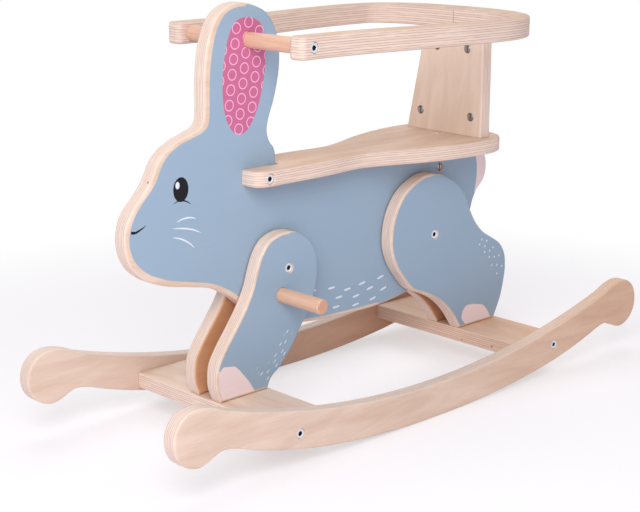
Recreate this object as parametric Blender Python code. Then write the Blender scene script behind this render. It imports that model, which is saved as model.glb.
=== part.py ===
"""Rocking rabbit: a toddler's ride-on of plywood plates on two curved runners.

The rabbit's body is one upright plate. Two front and two rear legs are clamped to its sides and stand
on two cross boards, which join a pair of runners. A saddle-shaped seat straddles the back of the neck,
a leaning backrest stands on it, and a guard rail of two mirrored halves runs round the rider from the
backrest to the ends of a dowel through the ear. A second dowel through the front legs is the footrest.

Frame: metres, +Z up, +X to the rabbit's left, the nose towards -Y. The origin is on the floor, under
the middle of the box round the toy. Nothing on the toy moves: it rocks as one piece on its runners.
"""
from math import ceil, cos, pi, radians, sin, sqrt, tan

import bmesh
import bpy
from mathutils import Matrix, Vector
from mathutils.geometry import interpolate_bezier

MM = 0.001

# Stock and fits
PLY = 18.0 * MM
RAIL_PLY = 24.0 * MM
DOWEL_RADIUS = 8.5 * MM
EDGE_RADIUS = 3.0 * MM
BOARD_EDGE_RADIUS = 1.5 * MM
FIT = 0.3 * MM
EDGE_STEPS = 1
CURVE_TOLERANCE = 0.3 * MM

# Fasteners, all for a 6 mm thread
THREAD_RADIUS = 3.0 * MM
HEAD_RADIUS = 5.5 * MM
HEAD_HEIGHT = 5.0 * MM
HEAD_CHAMFER = 0.5 * MM
HEAD_SINK = 0.8 * MM
SOCKET_FLAT = 2.5 * MM
SOCKET_DEPTH = 2.6 * MM
SLEEVE_RADIUS = 4.5 * MM
NUT_RADIUS = 5.0 * MM
NUT_SINK = 0.8 * MM
NUT_TAIL = 5.8 * MM
NUT_SLOT_WIDTH = 1.6 * MM
NUT_SLOT_DEPTH = 1.4 * MM
NUT_DEPTH = 22.5 * MM
THREAD_REACH = 7.0 * MM
INSERT_RADIUS = 4.5 * MM
INSERT_LENGTH = 15.0 * MM
PIN_RADIUS = 4.0 * MM
PIN_LENGTH = 22.0 * MM
PIN_CHAMFER = 0.8 * MM
DOWEL_CHAMFER = 1.2 * MM
SIDES_PER_RADIUS = 2.8 * MM
SHARP_ANGLE = 35.0

# Runners
RUNNER_OUTER = 134.5 * MM
SOLE_HALF = 296.0 * MM
SOLE_RISE = 39.0 * MM
SOLE_QUARTIC_SHARE = 0.28
SOLE_STEPS = 17
RUNNER_DEPTH = 40.2 * MM
RUNNER_TOP_RADIUS = 1125.0 * MM
KNOB_NECK = 22.0 * MM
RUNNER_TOP_STEPS = 14
END_LIFT = 3.0 * MM

# Cross boards
BOARD_TOP = 46.8 * MM
BOARD_WIDTH = 75.0 * MM
FRONT_BOARD_Y = -202.5 * MM
REAR_BOARD_Y = 195.5 * MM
FRONT_RUNNER_BOLT_Y = -219.5 * MM
REAR_RUNNER_BOLT_Y = 214.5 * MM
RUNNER_PIN_FROM_BOLT = 34.0 * MM

# Legs
FRONT_FOOT_BOLT_Y = -190.0 * MM
FRONT_FOOT_PIN_Y = -218.0 * MM
REAR_FOOT_BOLT_Y = 184.0 * MM
REAR_FOOT_PIN_Y = 208.0 * MM
FRONT_LEG_BOLT = (-136.0 * MM, 180.7 * MM)
REAR_LEG_BOLT = (107.0 * MM, 177.7 * MM)
FOOTREST_AXIS = (-146.5 * MM, 151.4 * MM)
FOOTREST_HALF = 92.0 * MM

# Seat, backrest and guard rail
SEAT_TOP = 296.0 * MM
SLOT_ROOT_Y = -134.5 * MM
SLOT_RELIEF_Y = -153.0 * MM
SLOT_RELIEF = 2.2 * MM
PRONG_BOLT_Y = -170.5 * MM
SEAT_BOLT_Y = 134.0 * MM
NECK_Y = -138.5 * MM
TAIL_TOP_Y = 203.0 * MM
BACKREST_FRONT_Y = 147.8 * MM
BACKREST_HALF = 59.8 * MM
BACKREST_LEAN = radians(7.0)
BACKREST_TAPER = radians(5.9)
BACKREST_FOOT_BOLT_X = 40.3 * MM
BACKREST_HEAD_BOLT_X = 24.1 * MM
RAIL_ABOVE_SEAT = 137.8 * MM
RAIL_WIDTH = 21.7 * MM
RAIL_FRONT_HALF = 108.5 * MM
RAIL_REAR_HALF = 135.0 * MM
RAIL_FLARE_START_Y = -168.0 * MM
RAIL_CORNER_Y = 96.5 * MM
RAIL_REAR_Y = 201.4 * MM
RAIL_INNER_CORNER_Y = 124.0 * MM
RAIL_INNER_REAR_Y = 162.0 * MM
RAIL_CORNER_POWER = 2.5
RAIL_FLARE_STEPS = 9
RAIL_CORNER_STEPS = 12
RAIL_END_Y = -194.0 * MM
RAIL_END_RADIUS = 7.0 * MM
RAIL_END_STEPS = 4
RAIL_PIN_Y = 184.0 * MM
HANDLE_Y = -176.0 * MM

# Outlines of the free-form plates, in millimetres. Upright plates give (y, z), the seat (x, y).
# The knob's underside is measured from the sole's end, its upper side from the end of the runner's top.
KNOB_UNDERSIDE = ((11, 3.5), (22, 5.9), (30, 6.2), (39, 3.1), (49, -1.5), (59, -4), (69, -2.6), (79, 2.4),
                  (87, 10.6))
KNOB_TOP = ((69.5, -23.6), (68.5, -11.1), (62, 0.9), (51, 8.6), (36, 10.8), (19, 7.6))

# The tail is measured from the body's top edge, head and nape from the seat's top, the ear from the handle.
TAIL_OUTLINE = ((216, -11.7), (223, -23.7), (224, -37.7), (218, -51.7), (208, -60.7), (201, -70.7))

BELLY_OUTLINE = ((195, 191), (182, 168), (158, 142), (122, 119), (80, 107), (27, 100), (-36, 100.7),
                 (-96, 104.7), (-145.6, 115.5), (-181.2, 137.4), (-206.2, 157.7))

HEAD_OUTLINE = ((-233, -124.2), (-263, -117), (-297.5, -109), (-322.5, -97.5), (-339, -81.3),
                (-346, -60.4), (-344.6, -40.7), (-336.5, -24.5), (-324.3, -12), (-314.5, -0.8),
                (-308.3, 9.2), (-302.7, 20.3), (-292.5, 31), (-276.5, 40.3), (-257, 47), (-245, 52.2))

EAR_OUTLINE = ((-241.2, -81.2), (-239.8, -73.5), (-239.3, -51.6), (-238, -26.2), (-233, 1.4),
               (-224.3, 21.4), (-211.5, 34), (-197.5, 38.9), (-181, 39.2), (-165, 34.7), (-150, 27),
               (-139.5, 12.9), (-133, -6.6), (-132, -25.6), (-135.8, -50.1), (-142, -70.6))

NAPE_OUTLINE = ((-149, 49), (-150.8, 38), (-147.5, 26.5), (-140.5, 17.5), (-138.6, 8))

FRONT_LEG_OUTLINE = ((-165, 55.5), (-149, 69), (-132.2, 87), (-118, 107.5), (-104.5, 127), (-96, 146),
                     (-91.5, 164), (-91.2, 180), (-96, 196), (-106, 209.5), (-121, 218.5), (-137, 222.5),
                     (-153, 221), (-167.5, 214.5), (-177.5, 202), (-184, 187), (-190.5, 167.5), (-200, 149),
                     (-217, 125), (-233, 103.5), (-240.5, 91), (-243.3, 76), (-242.5, 62.5))

REAR_LEG_OUTLINE = ((232, 56.5), (238.5, 69.5), (244.5, 90), (247.6, 111), (244.5, 131), (235, 144.5),
                    (219, 154.8), (199.5, 166.5), (185, 181), (173.5, 199), (164, 218.5), (150.5, 233),
                    (134, 244), (112, 252), (90, 254), (70, 248), (50, 235), (36.5, 216), (30, 195),
                    (30, 171), (37, 152), (51.5, 132), (68, 114.8), (93, 104), (119, 90), (140, 71.5))

FRONT_FOOT = (-236.5, -168.5)
REAR_FOOT = (158.5, 227.0)

SEAT_OUTLINE = ((19, -188.5), (27.5, -186.5), (33.2, -180.5), (35.2, -171), (35.2, -150), (35.6, -96),
                (34.5, -72), (31.8, -47), (32.4, -22), (38.5, 0), (47.5, 24), (56.5, 48), (64, 74),
                (69.5, 101), (72.3, 128), (72.6, 150), (69.2, 170), (60, 184), (44, 192), (23, 193.8),
                (0, 193.8))

# Values worked out from the ones above
RUNNER_TOP_HALF = SOLE_HALF + KNOB_NECK
RUNNER_INNER = RUNNER_OUTER - PLY
RUNNER_MIDDLE = RUNNER_OUTER - PLY / 2
BOARD_MIDDLE_Z = BOARD_TOP - PLY / 2
BOARD_BOTTOM = BOARD_TOP - PLY
BOARD_HALF = RUNNER_INNER - FIT
BODY_FACE = PLY / 2
LEG_INNER = BODY_FACE + FIT
LEG_MIDDLE = LEG_INNER + PLY / 2
LEG_OUTER = LEG_INNER + PLY
LEG_BOTTOM = BOARD_TOP + FIT
SEAT_MIDDLE_Z = SEAT_TOP - PLY / 2
SEAT_BOTTOM = SEAT_TOP - PLY
BODY_TOP = SEAT_BOTTOM - FIT
RAIL_MIDDLE_Z = SEAT_TOP + RAIL_ABOVE_SEAT
RAIL_BOTTOM = RAIL_MIDDLE_Z - RAIL_PLY / 2
RAIL_TOP = RAIL_MIDDLE_Z + RAIL_PLY / 2
BACKREST_BOTTOM = SEAT_TOP + FIT
BACKREST_TOP = RAIL_BOTTOM - FIT
BACKREST_DEPTH = PLY / cos(BACKREST_LEAN)
RECESS_RADIUS = HEAD_RADIUS + FIT
RECESS_DEPTH = HEAD_HEIGHT + HEAD_SINK + FIT
SEAT_DEPTH = HEAD_HEIGHT + HEAD_SINK
HOLE_RADIUS = THREAD_RADIUS + FIT
NUT_HOLE_RADIUS = NUT_RADIUS + FIT
SLEEVE_HOLE_RADIUS = SLEEVE_RADIUS + FIT
DOWEL_HOLE_RADIUS = DOWEL_RADIUS + FIT
PIN_HOLE_RADIUS = PIN_RADIUS + FIT
PIN_HOLE_DEPTH = PIN_LENGTH / 2 + FIT
NUT_HEAD = PLY / 2 - NUT_SINK

X_AXIS = Vector((1.0, 0.0, 0.0))
Y_AXIS = Vector((0.0, 1.0, 0.0))
Z_AXIS = Vector((0.0, 0.0, 1.0))
UPRIGHT = (pi / 2, 0.0, pi / 2)
FLAT = (0.0, 0.0, 0.0)
SIDES = (1.0, -1.0)
WORDS = ("left", "right")


# Materials

def finish(name, colour, roughness, metallic=0.0):
    """A plain Principled BSDF of one colour."""
    material = bpy.data.materials.new(name)
    material.use_nodes = True
    shader = material.node_tree.nodes["Principled BSDF"]
    shader.inputs["Base Color"].default_value = (*colour, 1.0)
    shader.inputs["Roughness"].default_value = roughness
    shader.inputs["Metallic"].default_value = metallic
    material.diffuse_color = (*colour, 1.0)
    return material


def make_materials():
    return {
        "paint": finish("blue_paint", (0.29, 0.40, 0.53), 0.55),
        "birch": finish("birch_plywood", (0.76, 0.60, 0.46), 0.6),
        "rail": finish("rail_plywood", (0.74, 0.57, 0.45), 0.6),
        "dowel": finish("beech_dowel", (0.78, 0.55, 0.37), 0.55),
        "steel": finish("zinc_steel", (0.62, 0.62, 0.63), 0.3, 1.0),
    }


# Curves and outlines

def metres(points):
    return [Vector((a * MM, b * MM)) for a, b in points]


def raised(points, height):
    return [point + Vector((0.0, height)) for point in metres(points)]


def smooth(points):
    """Points along a smooth curve through the given ones, closer together where it bends more.

    Each span is a Bezier curve whose handles follow the slope at its ends. It is cut into as many
    chords as keep it within CURVE_TOLERANCE: n chords stray by 0.75 of its bend over n squared.
    """
    out = []
    for index in range(len(points) - 1):
        a, d = points[index], points[index + 1]
        third = (d - a).length / 3.0
        b = a + slope(points, index) * third
        c = d - slope(points, index + 1) * third
        bend = max((a - 2 * b + c).length, (b - 2 * c + d).length)
        chords = max(1, ceil(sqrt(0.75 * bend / CURVE_TOLERANCE)))
        out += [point.to_2d() for point in interpolate_bezier(a, b, c, d, chords + 1)[:-1]]
    out.append(points[-1].copy())
    return out


def slope(points, index):
    """The curve's direction at a point: its neighbours' directions, the nearer one counting more."""
    if index == 0:
        return (points[1] - points[0]).normalized()
    if index == len(points) - 1:
        return (points[-1] - points[-2]).normalized()
    back = points[index] - points[index - 1]
    ahead = points[index + 1] - points[index]
    ratio = ahead.length / back.length
    return (back * ratio + ahead / ratio) / (back.length + ahead.length)


def end_lift(y):
    """How far a runner is bent up towards its front end, and as far down towards its rear end."""
    reach = max(abs(y) - SOLE_HALF / SOLE_STEPS, 0.0) / RUNNER_TOP_HALF
    return END_LIFT * reach * reach * (-1.0 if y > 0.0 else 1.0)


def runner_outline():
    """The sole is a flattened arc, the top a plain arc, and a knob ends each half.

    An odd number of chords leaves one lying flat on the floor, under the toy's centre of mass.
    """
    def rise(y):
        part = y / SOLE_HALF
        return SOLE_RISE * ((1.0 - SOLE_QUARTIC_SHARE) * part ** 2 + SOLE_QUARTIC_SHARE * part ** 4)

    def sole(y):
        return rise(y) - rise(SOLE_HALF / SOLE_STEPS)

    def top(y):
        return RUNNER_DEPTH + RUNNER_TOP_RADIUS - sqrt(RUNNER_TOP_RADIUS ** 2 - y ** 2)

    bottom = []
    for index in range(SOLE_STEPS + 1):
        y = SOLE_HALF * (2.0 * index / SOLE_STEPS - 1.0)
        bottom.append(Vector((y, sole(y))))
    upper = []
    for index in range(RUNNER_TOP_STEPS + 1):
        y = RUNNER_TOP_HALF * (1.0 - 2.0 * index / RUNNER_TOP_STEPS)
        upper.append(Vector((y, top(y))))
    underside = [bottom[-1] + point for point in metres(KNOB_UNDERSIDE)]
    upside = [upper[0] + point for point in metres(KNOB_TOP)]
    knob = smooth([bottom[-1]] + underside + upside + [upper[0]])[1:-1]
    other = [Vector((-point.x, point.y)) for point in reversed(knob)]
    return [Vector((point.x, point.y + end_lift(point.x))) for point in bottom + knob + upper + other]


def body_outline():
    """From the seat's rear edge round the tail, belly, chest, head and ear to the back of the neck."""
    start = Vector((TAIL_TOP_Y, BODY_TOP))
    neck = Vector((NECK_Y, SEAT_TOP))
    corner = Vector((NECK_Y, BODY_TOP))
    under = raised(TAIL_OUTLINE, BODY_TOP) + metres(BELLY_OUTLINE) + raised(HEAD_OUTLINE, SEAT_TOP)
    ear = raised(EAR_OUTLINE, RAIL_MIDDLE_Z) + raised(NAPE_OUTLINE, SEAT_TOP)
    return smooth([start] + under + ear + [neck]) + [corner]


def leg_outline(points, foot):
    """A leg's outline, closed by its flat foot. The points run from one end of the foot to the other."""
    first, last = (foot[1], foot[0]) if points[0][0] > points[-1][0] else foot
    ends = Vector((first * MM, LEG_BOTTOM)), Vector((last * MM, LEG_BOTTOM))
    return smooth([ends[0]] + metres(points) + [ends[1]])


def seat_outline():
    """A saddle: both sides from the prongs' tips to the rear, then the slot that takes the neck."""
    half = smooth(metres(SEAT_OUTLINE))
    left = [Vector((LEG_INNER, half[0].y))] + half
    right = [Vector((-point.x, point.y)) for point in reversed(left[:-1])]
    wide = LEG_INNER + SLOT_RELIEF
    cheek = ((LEG_INNER, SLOT_RELIEF_Y), (wide, SLOT_RELIEF_Y + SLOT_RELIEF),
             (wide, SLOT_ROOT_Y - SLOT_RELIEF), (LEG_INNER, SLOT_ROOT_Y))
    far_cheek = [Vector((-x, y)) for x, y in cheek]
    near_cheek = [Vector(point) for point in reversed(cheek)]
    return left + right + far_cheek + near_cheek


def rail_half(y):
    """Half the rail's outer width at y, before its rear corner: straight, then an even flare."""
    part = (y - RAIL_FLARE_START_Y) / (RAIL_CORNER_Y - RAIL_FLARE_START_Y)
    part = min(max(part, 0.0), 1.0)
    return RAIL_FRONT_HALF + (RAIL_REAR_HALF - RAIL_FRONT_HALF) * part * part * (3.0 - 2.0 * part)


def superellipse(half_width, start_y, end_y, steps):
    """A quarter of a superellipse, from the side at start_y to the centre line at end_y."""
    points = []
    for index in range(steps + 1):
        angle = pi / 2 * index / steps
        x = half_width * max(cos(angle), 0.0) ** (2.0 / RAIL_CORNER_POWER)
        y = start_y + (end_y - start_y) * sin(angle) ** (2.0 / RAIL_CORNER_POWER)
        points.append(Vector((max(x, FIT / 2), y)))
    return points


def rail_outline(side):
    """One half of the guard rail: a blunt front end, a flared arm and half of the rear bar."""
    outer, inner = [], []
    for index in range(RAIL_FLARE_STEPS):
        part = index / RAIL_FLARE_STEPS
        y = RAIL_FLARE_START_Y + (RAIL_CORNER_Y - RAIL_FLARE_START_Y) * part
        outer.append(Vector((rail_half(y), y)))
        inner.append(Vector((rail_half(y) - RAIL_WIDTH, y)))
    outer += superellipse(RAIL_REAR_HALF, RAIL_CORNER_Y, RAIL_REAR_Y, RAIL_CORNER_STEPS)
    inner.append(Vector((RAIL_REAR_HALF - RAIL_WIDTH, RAIL_CORNER_Y)))
    inner += superellipse(RAIL_REAR_HALF - RAIL_WIDTH, RAIL_INNER_CORNER_Y, RAIL_INNER_REAR_Y,
                          RAIL_CORNER_STEPS)
    end = []
    near, far = RAIL_FRONT_HALF - RAIL_WIDTH + RAIL_END_RADIUS, RAIL_FRONT_HALF - RAIL_END_RADIUS
    for x, start in ((near, pi), (far, 1.5 * pi)):
        for index in range(RAIL_END_STEPS + 1):
            angle = start + pi / 2 * index / RAIL_END_STEPS
            end.append(Vector((x + RAIL_END_RADIUS * cos(angle),
                               RAIL_END_Y + RAIL_END_RADIUS * (1.0 + sin(angle)))))
    loop = end + outer + list(reversed(inner))
    return [Vector((side * point.x, point.y)) for point in loop]


def edge_at(points, y):
    """How far out an outline of (x, y) points in millimetres reaches at y."""
    rows = smooth(metres(points))
    for a, b in zip(rows, rows[1:]):
        if a.y <= y <= b.y:
            return a.x + (b.x - a.x) * (y - a.y) / (b.y - a.y)
    raise ValueError("the outline doesn't reach that far")


PRONG_OUTER = edge_at(SEAT_OUTLINE, PRONG_BOLT_Y)


def backrest_middle(z):
    """The y of the backrest's middle plane at height z."""
    return BACKREST_FRONT_Y + (z - BACKREST_BOTTOM) * tan(BACKREST_LEAN) + BACKREST_DEPTH / 2


BACKREST_FOOT_NUT_Z = BACKREST_BOTTOM + NUT_DEPTH
BACKREST_HEAD_NUT_Z = BACKREST_TOP - NUT_DEPTH
BACKREST_FOOT_BOLT_Y = backrest_middle(BACKREST_FOOT_NUT_Z)
BACKREST_HEAD_BOLT_Y = backrest_middle(BACKREST_HEAD_NUT_Z)


# Solids

def new_object(name, bm, material):
    bmesh.ops.recalc_face_normals(bm, faces=bm.faces)
    mesh = bpy.data.meshes.new(name)
    bm.to_mesh(mesh)
    bm.free()
    item = bpy.data.objects.new(name, mesh)
    bpy.context.scene.collection.objects.link(item)
    if material is not None:
        mesh.materials.append(material)
    return item


def plate(name, outline, thickness, material, rotation, location, edge=EDGE_RADIUS, keep_sharp=None):
    """A plate of the given outline, with its rims rounded over except where keep_sharp says so."""
    bm = bmesh.new()
    weight = bm.edges.layers.float.new("bevel_weight_edge")
    low = [bm.verts.new((point.x, point.y, -thickness / 2)) for point in outline]
    high = [bm.verts.new((point.x, point.y, thickness / 2)) for point in outline]
    bm.faces.new(list(reversed(low)))
    bm.faces.new(high)
    count = len(outline)
    for index in range(count):
        after = (index + 1) % count
        bm.faces.new((low[index], low[after], high[after], high[index]))
    for ring in (low, high):
        for index in range(count):
            ends = ring[index], ring[(index + 1) % count]
            rim = bm.edges.get(ends)
            sharp = keep_sharp is not None and all(keep_sharp(vert.co) for vert in ends)
            rim[weight] = 0.0 if sharp else 1.0
    item = new_object(name, bm, material)
    soften(item.data)
    item.rotation_euler = rotation
    item.location = location
    bevel = item.modifiers.new("rounded_rims", "BEVEL")
    bevel.limit_method = "WEIGHT"
    bevel.width = edge
    bevel.segments = EDGE_STEPS
    return item


def turned_rows(bm, profile, matrix, ring=False):
    """Turns a profile of (height, radius) rows round +Z. A third value of 'hex' gives a hexagon.

    The ends are closed by flat caps, or joined to each other where ring is set. The number of sides
    is a multiple of six that grows with the largest radius.
    """
    steps = 6 * max(2, round(max(row[1] for row in profile) / SIDES_PER_RADIUS))
    rows = []
    for row in profile:
        verts = []
        for index in range(steps):
            angle = 2 * pi * index / steps
            radius = row[1]
            if len(row) > 2:
                radius = row[1] / cos(angle % (pi / 3) - pi / 6)
            verts.append(bm.verts.new(matrix @ Vector((radius * cos(angle), radius * sin(angle), row[0]))))
        rows.append(verts)
    pairs = list(zip(rows, rows[1:]))
    if ring:
        pairs.append((rows[-1], rows[0]))
    else:
        bm.faces.new(list(reversed(rows[0])))
        bm.faces.new(rows[-1])
    for lower, upper in pairs:
        for index in range(steps):
            after = (index + 1) % steps
            bm.faces.new((lower[index], lower[after], upper[after], upper[index]))


def aimed(point, direction, across=None):
    """The matrix that puts the origin at point, turns +Z to direction and, if given, +Y to across."""
    if across is None:
        turn = Vector(direction).to_track_quat("Z", "Y").to_matrix()
    else:
        turn = Matrix((across.cross(direction), across, direction)).transposed()
    return Matrix.Translation(Vector(point)) @ turn.to_4x4()


def turned(name, profile, ring=False):
    """A mesh turned about its own +Z, shaded smooth, that several objects can share."""
    bm = bmesh.new()
    turned_rows(bm, profile, Matrix.Identity(4), ring)
    bmesh.ops.recalc_face_normals(bm, faces=bm.faces)
    mesh = bpy.data.meshes.new(name)
    bm.to_mesh(mesh)
    bm.free()
    soften(mesh)
    return mesh


def soften(mesh):
    mesh.shade_smooth()
    mesh.set_sharp_from_angle(angle=radians(SHARP_ANGLE))


def put(name, mesh, material, point, direction, across=None):
    """One object with this mesh, its origin at point, +Z along direction and, if given, +Y across."""
    if not mesh.materials:
        mesh.materials.append(material)
    item = bpy.data.objects.new(name, mesh)
    bpy.context.scene.collection.objects.link(item)
    item.matrix_world = aimed(point, direction, across)
    return item


def drill(item, holes, name):
    """Cuts turned holes, each (start, direction, (depth, radius) rows), with one hidden cutter."""
    bm = bmesh.new()
    for start, direction, profile in holes:
        turned_rows(bm, profile, aimed(start, direction))
    cutter = new_object(f"{name}_cutter", bm, None)
    hide_cutter(cutter)
    cut(item, cutter)


def plain_hole(start, direction, depth, radius):
    return (start, direction, ((0.0, radius), (depth, radius)))


def hide_cutter(cutter):
    cutter.display_type = "WIRE"
    cutter.hide_render = True


def cut(item, cutter):
    boolean = item.modifiers.new(cutter.name, "BOOLEAN")
    boolean.operation = "DIFFERENCE"
    boolean.solver = "EXACT"
    boolean.use_self = True
    boolean.object = cutter


# Fasteners: each profile has its bearing face at height 0 and its head above it

def head_profile():
    top = HEAD_HEIGHT
    return [(0.0, HEAD_RADIUS), (top - HEAD_CHAMFER, HEAD_RADIUS), (top, HEAD_RADIUS - HEAD_CHAMFER),
            (top, SOCKET_FLAT, "hex"), (top - SOCKET_DEPTH, SOCKET_FLAT, "hex")]


def bolt_profile(length):
    return [(-length, THREAD_RADIUS), (0.0, THREAD_RADIUS)] + head_profile()


def sleeve_profile(length):
    bore = THREAD_RADIUS + FIT
    web = SOCKET_DEPTH - HEAD_HEIGHT
    return [(web, bore), (-length, bore), (-length, SLEEVE_RADIUS), (0.0, SLEEVE_RADIUS)] + head_profile()


def bolt_hole(surface, outward, depth, radius=HOLE_RADIUS):
    """A counterbored hole for a sunk bolt, from a point on the surface inwards."""
    outward = Vector(outward)
    start = Vector(surface) + outward * HEAD_HEIGHT
    floor = HEAD_HEIGHT + RECESS_DEPTH
    rows = ((0.0, RECESS_RADIUS), (floor, RECESS_RADIUS), (floor, radius), (HEAD_HEIGHT + depth, radius))
    return (start, -outward, rows)


def bearing(surface, outward):
    """Where a sunk head's bearing face lies, FIT above the floor of its counterbore."""
    return Vector(surface) - Vector(outward) * SEAT_DEPTH


def barrel_nut_mesh(steel):
    """A cross dowel: a cylinder along Z with a threaded hole along Y and a slot along Y in its top.

    Its origin is on the thread's axis. The cuts are made on a passing object, whose mesh is kept.
    """
    shaft = turned("barrel_nut_blank", ((-NUT_TAIL, NUT_RADIUS), (NUT_HEAD, NUT_RADIUS)))
    blank = put("barrel_nut_blank", shaft, steel, (0, 0, 0), Z_AXIS)
    drill(blank, [plain_hole(-2 * NUT_RADIUS * Y_AXIS, Y_AXIS, 4 * NUT_RADIUS, HOLE_RADIUS)], "thread")
    bm = bmesh.new()
    size = Matrix.Diagonal((NUT_SLOT_WIDTH, 3 * NUT_RADIUS, 2 * NUT_SLOT_DEPTH, 1.0))
    bmesh.ops.create_cube(bm, size=1.0, matrix=Matrix.Translation((0, 0, NUT_HEAD)) @ size)
    slot = new_object("slot_cutter", bm, None)
    hide_cutter(slot)
    cut(blank, slot)
    made = blank.evaluated_get(bpy.context.evaluated_depsgraph_get())
    mesh = bpy.data.meshes.new_from_object(made)
    cutters = [modifier.object for modifier in blank.modifiers]
    for item in [blank] + cutters:
        bpy.data.objects.remove(item, do_unlink=True)
    soften(mesh)
    return mesh


def nut_hole(middle, slotted_end):
    """A blind hole for a barrel nut, from a plate's middle plane out through the face it is put in by."""
    start = Vector(middle) - slotted_end * (NUT_TAIL + FIT)
    return plain_hole(start, slotted_end, NUT_TAIL + FIT + PLY, NUT_HOLE_RADIUS)


# Sub-parts

def make_runners(materials):
    """Two runners, each held to both cross boards by a sunk bolt and a locating pin."""
    outline = runner_outline()
    for side, word in zip(SIDES, WORDS):
        item = plate(f"rocker_{word}", outline, PLY, materials["birch"], UPRIGHT,
                     (side * RUNNER_MIDDLE, 0, 0))
        outward = side * X_AXIS
        holes = []
        for bolt_y, pin_y in runner_fixings():
            holes.append(bolt_hole((side * RUNNER_OUTER, bolt_y, BOARD_MIDDLE_Z), outward, 2 * PLY))
            start = Vector((side * (RUNNER_INNER - FIT), pin_y, BOARD_MIDDLE_Z))
            holes.append(plain_hole(start, outward, PIN_HOLE_DEPTH + FIT, PIN_HOLE_RADIUS))
        drill(item, holes, f"rocker_{word}_holes")


def runner_fixings():
    """(bolt y, pin y) for the front and the rear board."""
    return ((FRONT_RUNNER_BOLT_Y, FRONT_RUNNER_BOLT_Y + RUNNER_PIN_FROM_BOLT),
            (REAR_RUNNER_BOLT_Y, REAR_RUNNER_BOLT_Y - RUNNER_PIN_FROM_BOLT))


def make_boards(materials):
    """Two cross boards between the runners, bored for the runners' and the feet's fixings."""
    feet = foot_fixings()
    for index, (word, y) in enumerate((("front", FRONT_BOARD_Y), ("rear", REAR_BOARD_Y))):
        half = BOARD_WIDTH / 2
        outline = [Vector(point) for point in ((-BOARD_HALF, y - half), (BOARD_HALF, y - half),
                                               (BOARD_HALF, y + half), (-BOARD_HALF, y + half))]
        item = plate(f"{word}_cross_board", outline, PLY, materials["birch"], FLAT,
                     (0, 0, BOARD_MIDDLE_Z), BOARD_EDGE_RADIUS)
        bolt_y, pin_y = runner_fixings()[index]
        foot_bolt_y, foot_pin_y = feet[index]
        holes = []
        for side in SIDES:
            outward = side * X_AXIS
            end = Vector((side * BOARD_HALF, bolt_y, BOARD_MIDDLE_Z))
            depth = NUT_DEPTH + THREAD_REACH + FIT
            holes.append(plain_hole(end + outward * FIT, -outward, depth + FIT, HOLE_RADIUS))
            holes.append(nut_hole(end - outward * NUT_DEPTH, -Z_AXIS))
            pin = Vector((side * (BOARD_HALF + FIT), pin_y, BOARD_MIDDLE_Z))
            holes.append(plain_hole(pin, -outward, PIN_HOLE_DEPTH + FIT, PIN_HOLE_RADIUS))
            foot = Vector((side * LEG_MIDDLE, foot_bolt_y, BOARD_BOTTOM))
            holes.append(bolt_hole(foot, -Z_AXIS, 2 * PLY))
            pin = Vector((side * LEG_MIDDLE, foot_pin_y, LEG_BOTTOM))
            holes.append(plain_hole(pin, -Z_AXIS, PIN_HOLE_DEPTH + FIT, PIN_HOLE_RADIUS))
        drill(item, holes, f"{word}_board_holes")


def foot_fixings():
    """(bolt y, pin y) for the front and the rear feet."""
    return ((FRONT_FOOT_BOLT_Y, FRONT_FOOT_PIN_Y), (REAR_FOOT_BOLT_Y, REAR_FOOT_PIN_Y))


def make_legs(materials):
    """Four legs: each stands on a board and is clamped to the body's side."""
    front = leg_outline(FRONT_LEG_OUTLINE, FRONT_FOOT)
    rear = leg_outline(REAR_LEG_OUTLINE, REAR_FOOT)
    for side, word in zip(SIDES, WORDS):
        outward = side * X_AXIS
        for name, outline, clamp, fixings in (("front", front, FRONT_LEG_BOLT, foot_fixings()[0]),
                                              ("rear", rear, REAR_LEG_BOLT, foot_fixings()[1])):
            item = plate(f"{name}_leg_{word}", outline, PLY, materials["paint"], UPRIGHT,
                         (side * LEG_MIDDLE, 0, 0))
            surface = Vector((side * LEG_OUTER, *clamp))
            radius = SLEEVE_HOLE_RADIUS if side > 0 else HOLE_RADIUS
            holes = [bolt_hole(surface, outward, 2 * PLY, radius)]
            foot = Vector((side * LEG_MIDDLE, fixings[0], LEG_BOTTOM))
            depth = NUT_DEPTH + THREAD_REACH + FIT
            holes.append(plain_hole(foot - Z_AXIS * FIT, Z_AXIS, depth + FIT, HOLE_RADIUS))
            holes.append(nut_hole(foot + Z_AXIS * NUT_DEPTH, -outward))
            pin = Vector((side * LEG_MIDDLE, fixings[1], BOARD_TOP))
            holes.append(plain_hole(pin, Z_AXIS, PIN_HOLE_DEPTH + FIT, PIN_HOLE_RADIUS))
            if name == "front":
                rest = Vector((0, *FOOTREST_AXIS))
                holes.append(plain_hole(rest, outward, LEG_OUTER + PLY, DOWEL_HOLE_RADIUS))
            drill(item, holes, f"{name}_leg_{word}_holes")


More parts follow.
